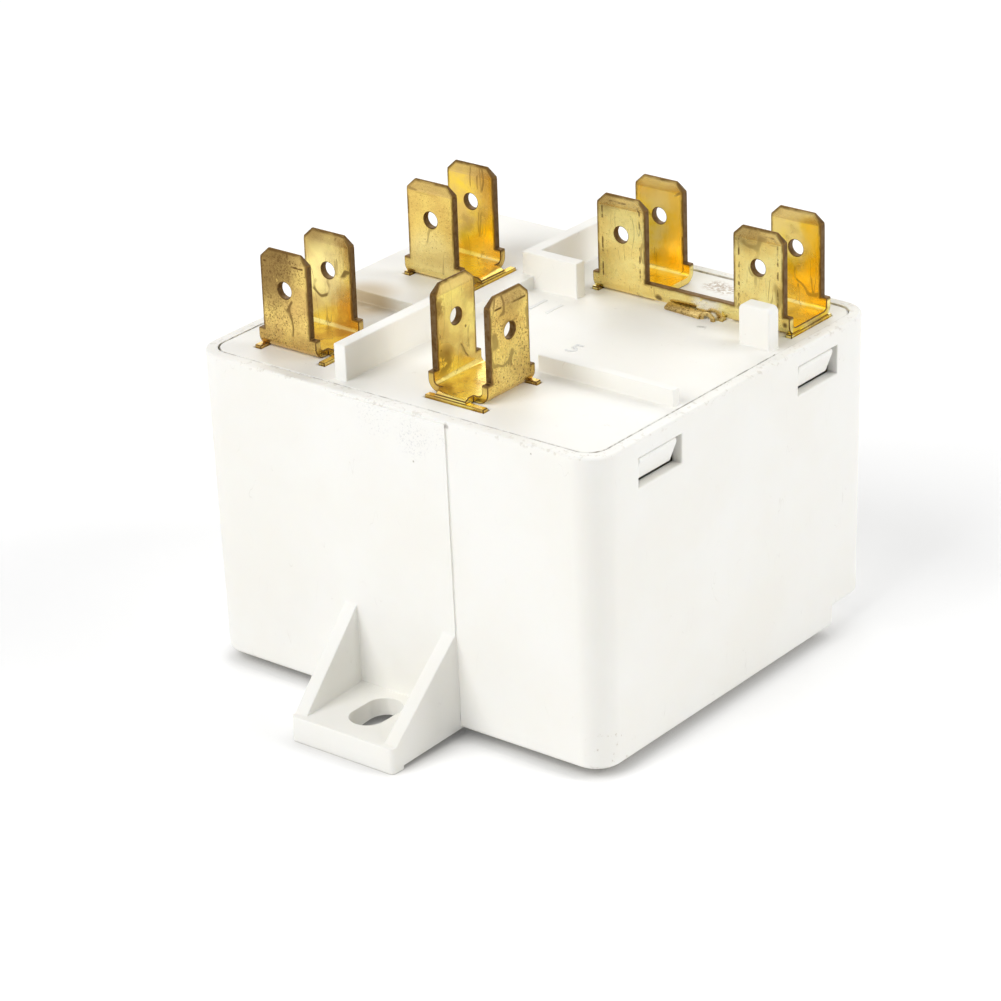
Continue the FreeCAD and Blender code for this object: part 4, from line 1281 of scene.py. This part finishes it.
@dataclass
class TabTerminals:
    """The four brass terminals with their ten tabs, each with its own wear, tarnish and painted highlights.
    """

    round_mm: float = 0.1
    spare: TabBrass = TabBrass(
        "spare_brass", TabFrame((-17.29, -15.81)), fresh=(246.0, 215.0, 124.0), dull=(218.0, 182.0, 108.0),
        inner=(255.0, 234.0, 138.0), inner_cloud=0.28, speck_share=0.9, tarnish=1.0, tip_line=0.95,
        tide_line=0.75,
        smudges=(Smudge((-17.3, -19.7, 45.6), 2.6, 0.6, 3200.0, 0.6),
                 Smudge((-20.0, -19.7, 40.5), 3.0, 0.6, 3200.0, 0.6)),
        # Spare: a darker brown over the front tab's upper part, olive tarnish, and a painted highlight on
        # the rear tab.
        washed=(Smudge((-20.2, -19.7, 45.4), 6.4, 1.0, 700.0, 0.85, (136.0, 108.0, 62.0)),
                Smudge((-17.4, -12.6, 46.6), 3.4, 1.0, 900.0, 0.4, OLIVE),
                Smudge((-19.9, -12.6, 46.4), 2.8, 1.0, 900.0, 0.5, OLIVE),
                Smudge((-17.3, -12.6, 42.5), 4.6, 1.0, 400.0, 0.5, PAINTED_HIGHLIGHT)))
    contact: TabBrass = TabBrass(
        "contact_brass", TabFrame((-15.43, 6.0), 48.4, shoulder=39.3), tarnish=0.35, tip_line=0.25,
        # Contact: a darker amber near the rear tip, and painted highlights low on the front tab and on the
        # web.
        washed=(Smudge((-13.2, 9.8, 47.6), 3.4, 1.0, 900.0, 0.35, (176.0, 134.0, 66.0)),
                Smudge((-15.4, 2.2, 39.4), 4.8, 1.0, 500.0, 0.6, PAINTED_HIGHLIGHT),
                Smudge((-13.4, 6.0, 38.0), 4.6, 1.0, 500.0, 0.6, PAINTED_HIGHLIGHT)))
    coil: TabBrass = TabBrass(
        "coil_brass", TabFrame((5.01, -15.3), across=1), fresh=(252.0, 223.0, 126.0),
        inner=(255.0, 234.0, 132.0), inner_cloud=0.28, speck_share=0.7, tarnish=0.85, tip_line=0.95,
        tide_line=0.6,
        smudges=(Smudge((1.9, -17.6, 38.6), 2.4, 0.8, 700.0, 0.6),
                 Smudge((8.9, -15.5, 43.2), 1.5, 0.7, 900.0, 0.6),
                 Smudge((1.9, -18.2, 44.5), 1.6, 0.7, 800.0, 0.5)),
        # Coil: pale painted highlights on both tabs, and olive tarnish near a tip.
        washed=(Smudge((2.0, -15.4, 41.0), 6.0, 1.0, 500.0, 0.3, (255.0, 232.0, 140.0)),
                Smudge((9.0, -15.0, 38.0), 4.0, 1.0, 500.0, 0.3, (255.0, 232.0, 150.0)),
                Smudge((8.9, -14.6, 46.4), 2.8, 1.0, 900.0, 0.5, OLIVE)))
    common: TabBrass = TabBrass(
        "common_brass", COMMON_TABS, fresh=(255.0, 240.0, 162.0), dull=(248.0, 222.0, 138.0), tarnish=0.25,
        inset_line=0.85, tip_line=0.3,
        smudges=(Smudge((6.7, 12.8, 36.4), 0.7, 0.9, 700.0, 0.8),
                 Smudge((23.0, 13.0, 37.0), 0.5, 0.9, 700.0, 0.9)),
        # Common: a near-white painted reflection on the link's front, and olive tarnish near the tips.
        washed=(Smudge((13.0, 12.7, 36.9), 2.6, 0.8, 900.0, 0.8, (253.0, 250.0, 240.0)),
                Smudge((-0.6, 12.8, 46.5), 2.6, 1.0, 900.0, 0.5, OLIVE),
                Smudge((17.8, 12.8, 46.5), 3.2, 1.0, 900.0, 0.6, OLIVE)))
    lance: TabBrass = TabBrass("lance_brass", COMMON_TABS, fresh=(236.0, 208.0, 136.0),
                               dull=(196.0, 168.0, 108.0), tarnish=0.8, speck_share=0.9)
    # Darker brass for every tab's rounds: partly oxide on the cut edges, partly painted shade.
    edges: WorkedMetal = WorkedMetal("brass_edge", (132.0, 102.0, 58.0), (58.0, 40.0, 22.0), 0.45, spots=0.6)

    def build(self) -> None:
        """Build and dress each terminal and the lance beside the common one."""
        finishes = {"terminal_spare": self.spare, "terminal_contact": self.contact,
                    "terminal_coil": self.coil, "terminal_common": self.common}
        # The rounds take the darker brass: partly oxide, partly painted shade.
        edges = self.edges.material()
        for node, finish in finishes.items():
            terminal = TabTerminal(node, "terminal_brass", self.round_mm, tabs=finish.tabs)
            terminal.build(finish.material(), edges)
        LinkLance().build(self.lance.material())


@dataclass
class MagnetSystem:
    """The parts that stay hidden inside the case."""

    closed_mm: float = 1.25
    steel: Finish = WorkedMetal("magnet_steel", (190.0, 190.0, 184.0), (128.0, 122.0, 108.0), 0.38)
    strip: Finish = WorkedMetal("strip_brass", (222.0, 184.0, 108.0), (150.0, 112.0, 60.0), 0.28)
    silver: Finish = WorkedMetal("contact_silver", (226.0, 223.0, 216.0), (150.0, 142.0, 130.0), 0.32)
    spring: Finish = WorkedMetal("spring_steel", (160.0, 164.0, 166.0), (104.0, 98.0, 88.0), 0.3)
    screw: Finish = WorkedMetal("screw_steel", (198.0, 198.0, 190.0), (136.0, 128.0, 106.0), 0.34)
    ring: Finish = WorkedMetal("ring_copper", (198.0, 118.0, 72.0), (120.0, 64.0, 38.0), 0.3)
    pin: Finish = WorkedMetal("tinned_pin", (206.0, 205.0, 198.0), (150.0, 148.0, 140.0), 0.25)
    leaf: Finish = WorkedMetal("leaf_bronze", (206.0, 152.0, 92.0), (138.0, 92.0, 48.0), 0.28)
    sleeve: Finish = InnerPolymer("lead_sleeve", (178.0, 58.0, 46.0), (140.0, 40.0, 34.0), 0.55, weave=0.22)
    nylon: Finish = InnerPolymer("bobbin_nylon", (222.0, 214.0, 190.0), (206.0, 196.0, 168.0), 0.5)
    film: Finish = InnerPolymer("winding_film", (222.0, 196.0, 84.0), (206.0, 176.0, 62.0), 0.25, coat=0.7)
    carrier: Finish = InnerPolymer("carrier_phenolic", (122.0, 46.0, 34.0), (96.0, 34.0, 26.0), 0.45)
    wire: Finish = WoundWire("winding_wire")

    def build(self) -> None:
        """Dress each hidden part with its own finish."""
        dressed = ((self.steel, ("yoke", "core", "armature")), (self.ring, ("shading_ring",)),
                   (self.nylon, ("bobbin",)), (self.wire, ("winding",)), (self.film, ("winding_tape",)),
                   (self.pin, ("coil_pin_common", "coil_pin_line")),
                   (self.sleeve, ("coil_lead_line", "coil_lead_common")),
                   (self.silver, ("fixed_contact_front", "fixed_contact_rear", "moving_contact_front",
                                  "moving_contact_rear")),
                   (self.strip, ("contact_strip", "common_strip", "contact_bridge")),
                   (self.leaf, ("bridge_spring",)), (self.carrier, ("pusher",)),
                   (self.screw, ("retainer_screw_low", "retainer_screw_high")))
        for finish, nodes in dressed:
            material = finish.material()
            for node in nodes:
                self.dress(node, material)
        spring = self.spring.material()
        self.dress("armature_retainer", spring)
        self.return_spring(spring)

    def dress(self, node: str, material: Material) -> None:
        """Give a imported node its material.

        Args:
            node: The node's name.
            material: Its material.
        """
        data = packed(node).data
        data.materials.clear()
        data.materials.append(material)
        LOG.info("%s: dressed with %s", node, material.name)

    def return_spring(self, material: Material) -> None:
        """Show the return spring as a piece with a mesh of its own in place of its node.

        Args:
            material: The spring's steel.
        """
        mesh = bmesh.new()
        mesh.from_mesh(packed("return_spring").data)
        bmesh.ops.remove_doubles(mesh, verts=mesh.verts, dist=JOINED)
        piece = finished("return_spring_coil", mesh, material)
        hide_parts("return_spring")
        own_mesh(piece)


@dataclass(frozen=True)
class SoftBox:
    """A square lamp that faces the relay, in metres and watts."""

    name: str
    place: Point
    side: float
    watts: float
    mirrored: bool = False


@dataclass
class Studio:
    """A pale table in soft light with the camera where the photograph was taken from."""

    focal_px: float = 3967.92
    centre_px: tuple[float, float] = (0.585, 0.279)
    sensor_mm: float = 36.0
    camera_mm: Point = (239.71, -304.04, 192.14)
    right: Point = (0.78727, 0.61576, -0.03236)
    up: Point = (-0.23194, 0.34436, 0.90974)
    backward: Point = (0.57132, -0.70870, 0.41391)
    clip: tuple[float, float] = (0.01, 20.0)
    table_side: float = 6.0
    table_white: Colour = (244.0, 244.0, 244.0)
    lift: float = 0.21
    contact_mm: float = 2.3
    contact_depth: float = 0.5
    contact_grey: Colour = (126.0, 120.0, 108.0)
    world_light: float = 0.2
    world_shown: float = 1.0
    aim: Point = (0.0, 0.0, 0.02)
    boxes: tuple[SoftBox, ...] = (
        SoftBox("key_box", (-0.25, -0.85, 0.77), 0.9, 10.4),
        SoftBox("side_box", (0.9, 0.5, 0.55), 0.7, 7.5),
        SoftBox("back_box", (-0.5, 0.75, 0.9), 0.8, 3.8, mirrored=True),
    )

    def build(self) -> None:
        """Set the camera, the table, the lamps and the background."""
        self.camera()
        self.table()
        for box in self.boxes:
            self.hang(box)
        self.background()
        bpy.context.scene.view_settings.view_transform = "Standard"

    def camera(self) -> None:
        """Place the camera by its measured axes and focal length."""
        data = bpy.data.cameras.new("relay_camera")
        data.sensor_width = self.sensor_mm
        data.lens = self.focal_px * self.sensor_mm / IMAGE_SIZE
        data.shift_x = -self.centre_px[0] / IMAGE_SIZE
        data.shift_y = self.centre_px[1] / IMAGE_SIZE
        data.clip_start, data.clip_end = self.clip
        camera = bpy.data.objects.new("relay_camera", data)
        rows = Matrix((self.right, self.up, self.backward)).transposed().to_4x4()
        camera.matrix_world = Matrix.Translation(Vector(self.camera_mm) * MM) @ rows
        bpy.context.scene.collection.objects.link(camera)
        bpy.context.scene.camera = camera

    def seen(self, graph: Graph, *rays: str) -> Socket:
        """Tell the rays that show a surface from those that light by it."""
        path = graph.put("ShaderNodeLightPath", {}).outputs
        return graph.most(*(path["Is %s Ray" % ray] for ray in rays))

    def table(self) -> None:
        """Lay a wide pale plane under the relay that keeps its shadow, with painted contact shade near the
        relay.
        """
        mesh = bmesh.new()
        bmesh.ops.create_grid(mesh, x_segments=1, y_segments=1, size=self.table_side / 2)
        data = bpy.data.meshes.new("table")
        mesh.to_mesh(data)
        mesh.free()
        table = bpy.data.objects.new("table", data)
        bpy.context.scene.collection.objects.link(table)
        material = bpy.data.materials.new("relay_table")
        graph = emptied(material)
        # Painted contact shade: occlusion darkens the table's colour and its glow within a few millimetres
        # of the relay.
        near = graph.put("ShaderNodeAmbientOcclusion", {"Distance": self.contact_mm * MM}, samples=8)
        open_share = graph.sums("POWER", near.outputs["AO"], self.contact_depth)
        shade = graph.blend(open_share, linear(self.contact_grey), linear(self.table_white))
        paper = graph.put("ShaderNodeBsdfDiffuse", {"Color": shade})
        strength = graph.times(self.seen(graph, "Camera", "Glossy"), self.lift, open_share)
        glow = graph.put("ShaderNodeEmission", {"Color": WHITE, "Strength": strength})
        both = graph.put("ShaderNodeAddShader", {0: paper.outputs[0], 1: glow.outputs[0]})
        graph.put("ShaderNodeOutputMaterial", {"Surface": both.outputs[0]})
        data.materials.append(material)

    def hang(self, box: SoftBox) -> None:
        """Hang one lamp.

        Args:
            box: The lamp.
        """
        data = bpy.data.lights.new(box.name, "AREA")
        data.shape = "SQUARE"
        data.size = box.side
        data.energy = box.watts
        lamp = bpy.data.objects.new(box.name, data)
        lamp.location = box.place
        lamp.visible_glossy = box.mirrored
        aim = Vector(self.aim) - Vector(box.place)
        lamp.rotation_euler = aim.to_track_quat("-Z", "Y").to_euler()
        bpy.context.scene.collection.objects.link(lamp)

    def background(self) -> None:
        """Surround the relay with even white light."""
        world = bpy.data.worlds.new("relay_world")
        graph = emptied(world)
        even = graph.put("ShaderNodeBackground", {"Color": WHITE, "Strength": self.world_light})
        shown = graph.put("ShaderNodeBackground", {"Color": WHITE, "Strength": self.world_shown})
        seen = self.seen(graph, "Camera", "Glossy", "Transmission")
        mix = graph.put("ShaderNodeMixShader", {0: seen, 1: even.outputs[0], 2: shown.outputs[0]})
        graph.put("ShaderNodeOutputWorld", {"Surface": mix.outputs[0]})
        bpy.context.scene.world = world


def main() -> None:
    """Build the relay's looks and its studio."""
    logging.basicConfig(level=logging.INFO, format="%(name)s %(message)s")
    Housing().build()
    CoverNumbers().build()
    TabTerminals().build()
    MagnetSystem().build()
    Studio().build()
    bpy.context.view_layer.update()


if __name__ == "__main__":
    main()
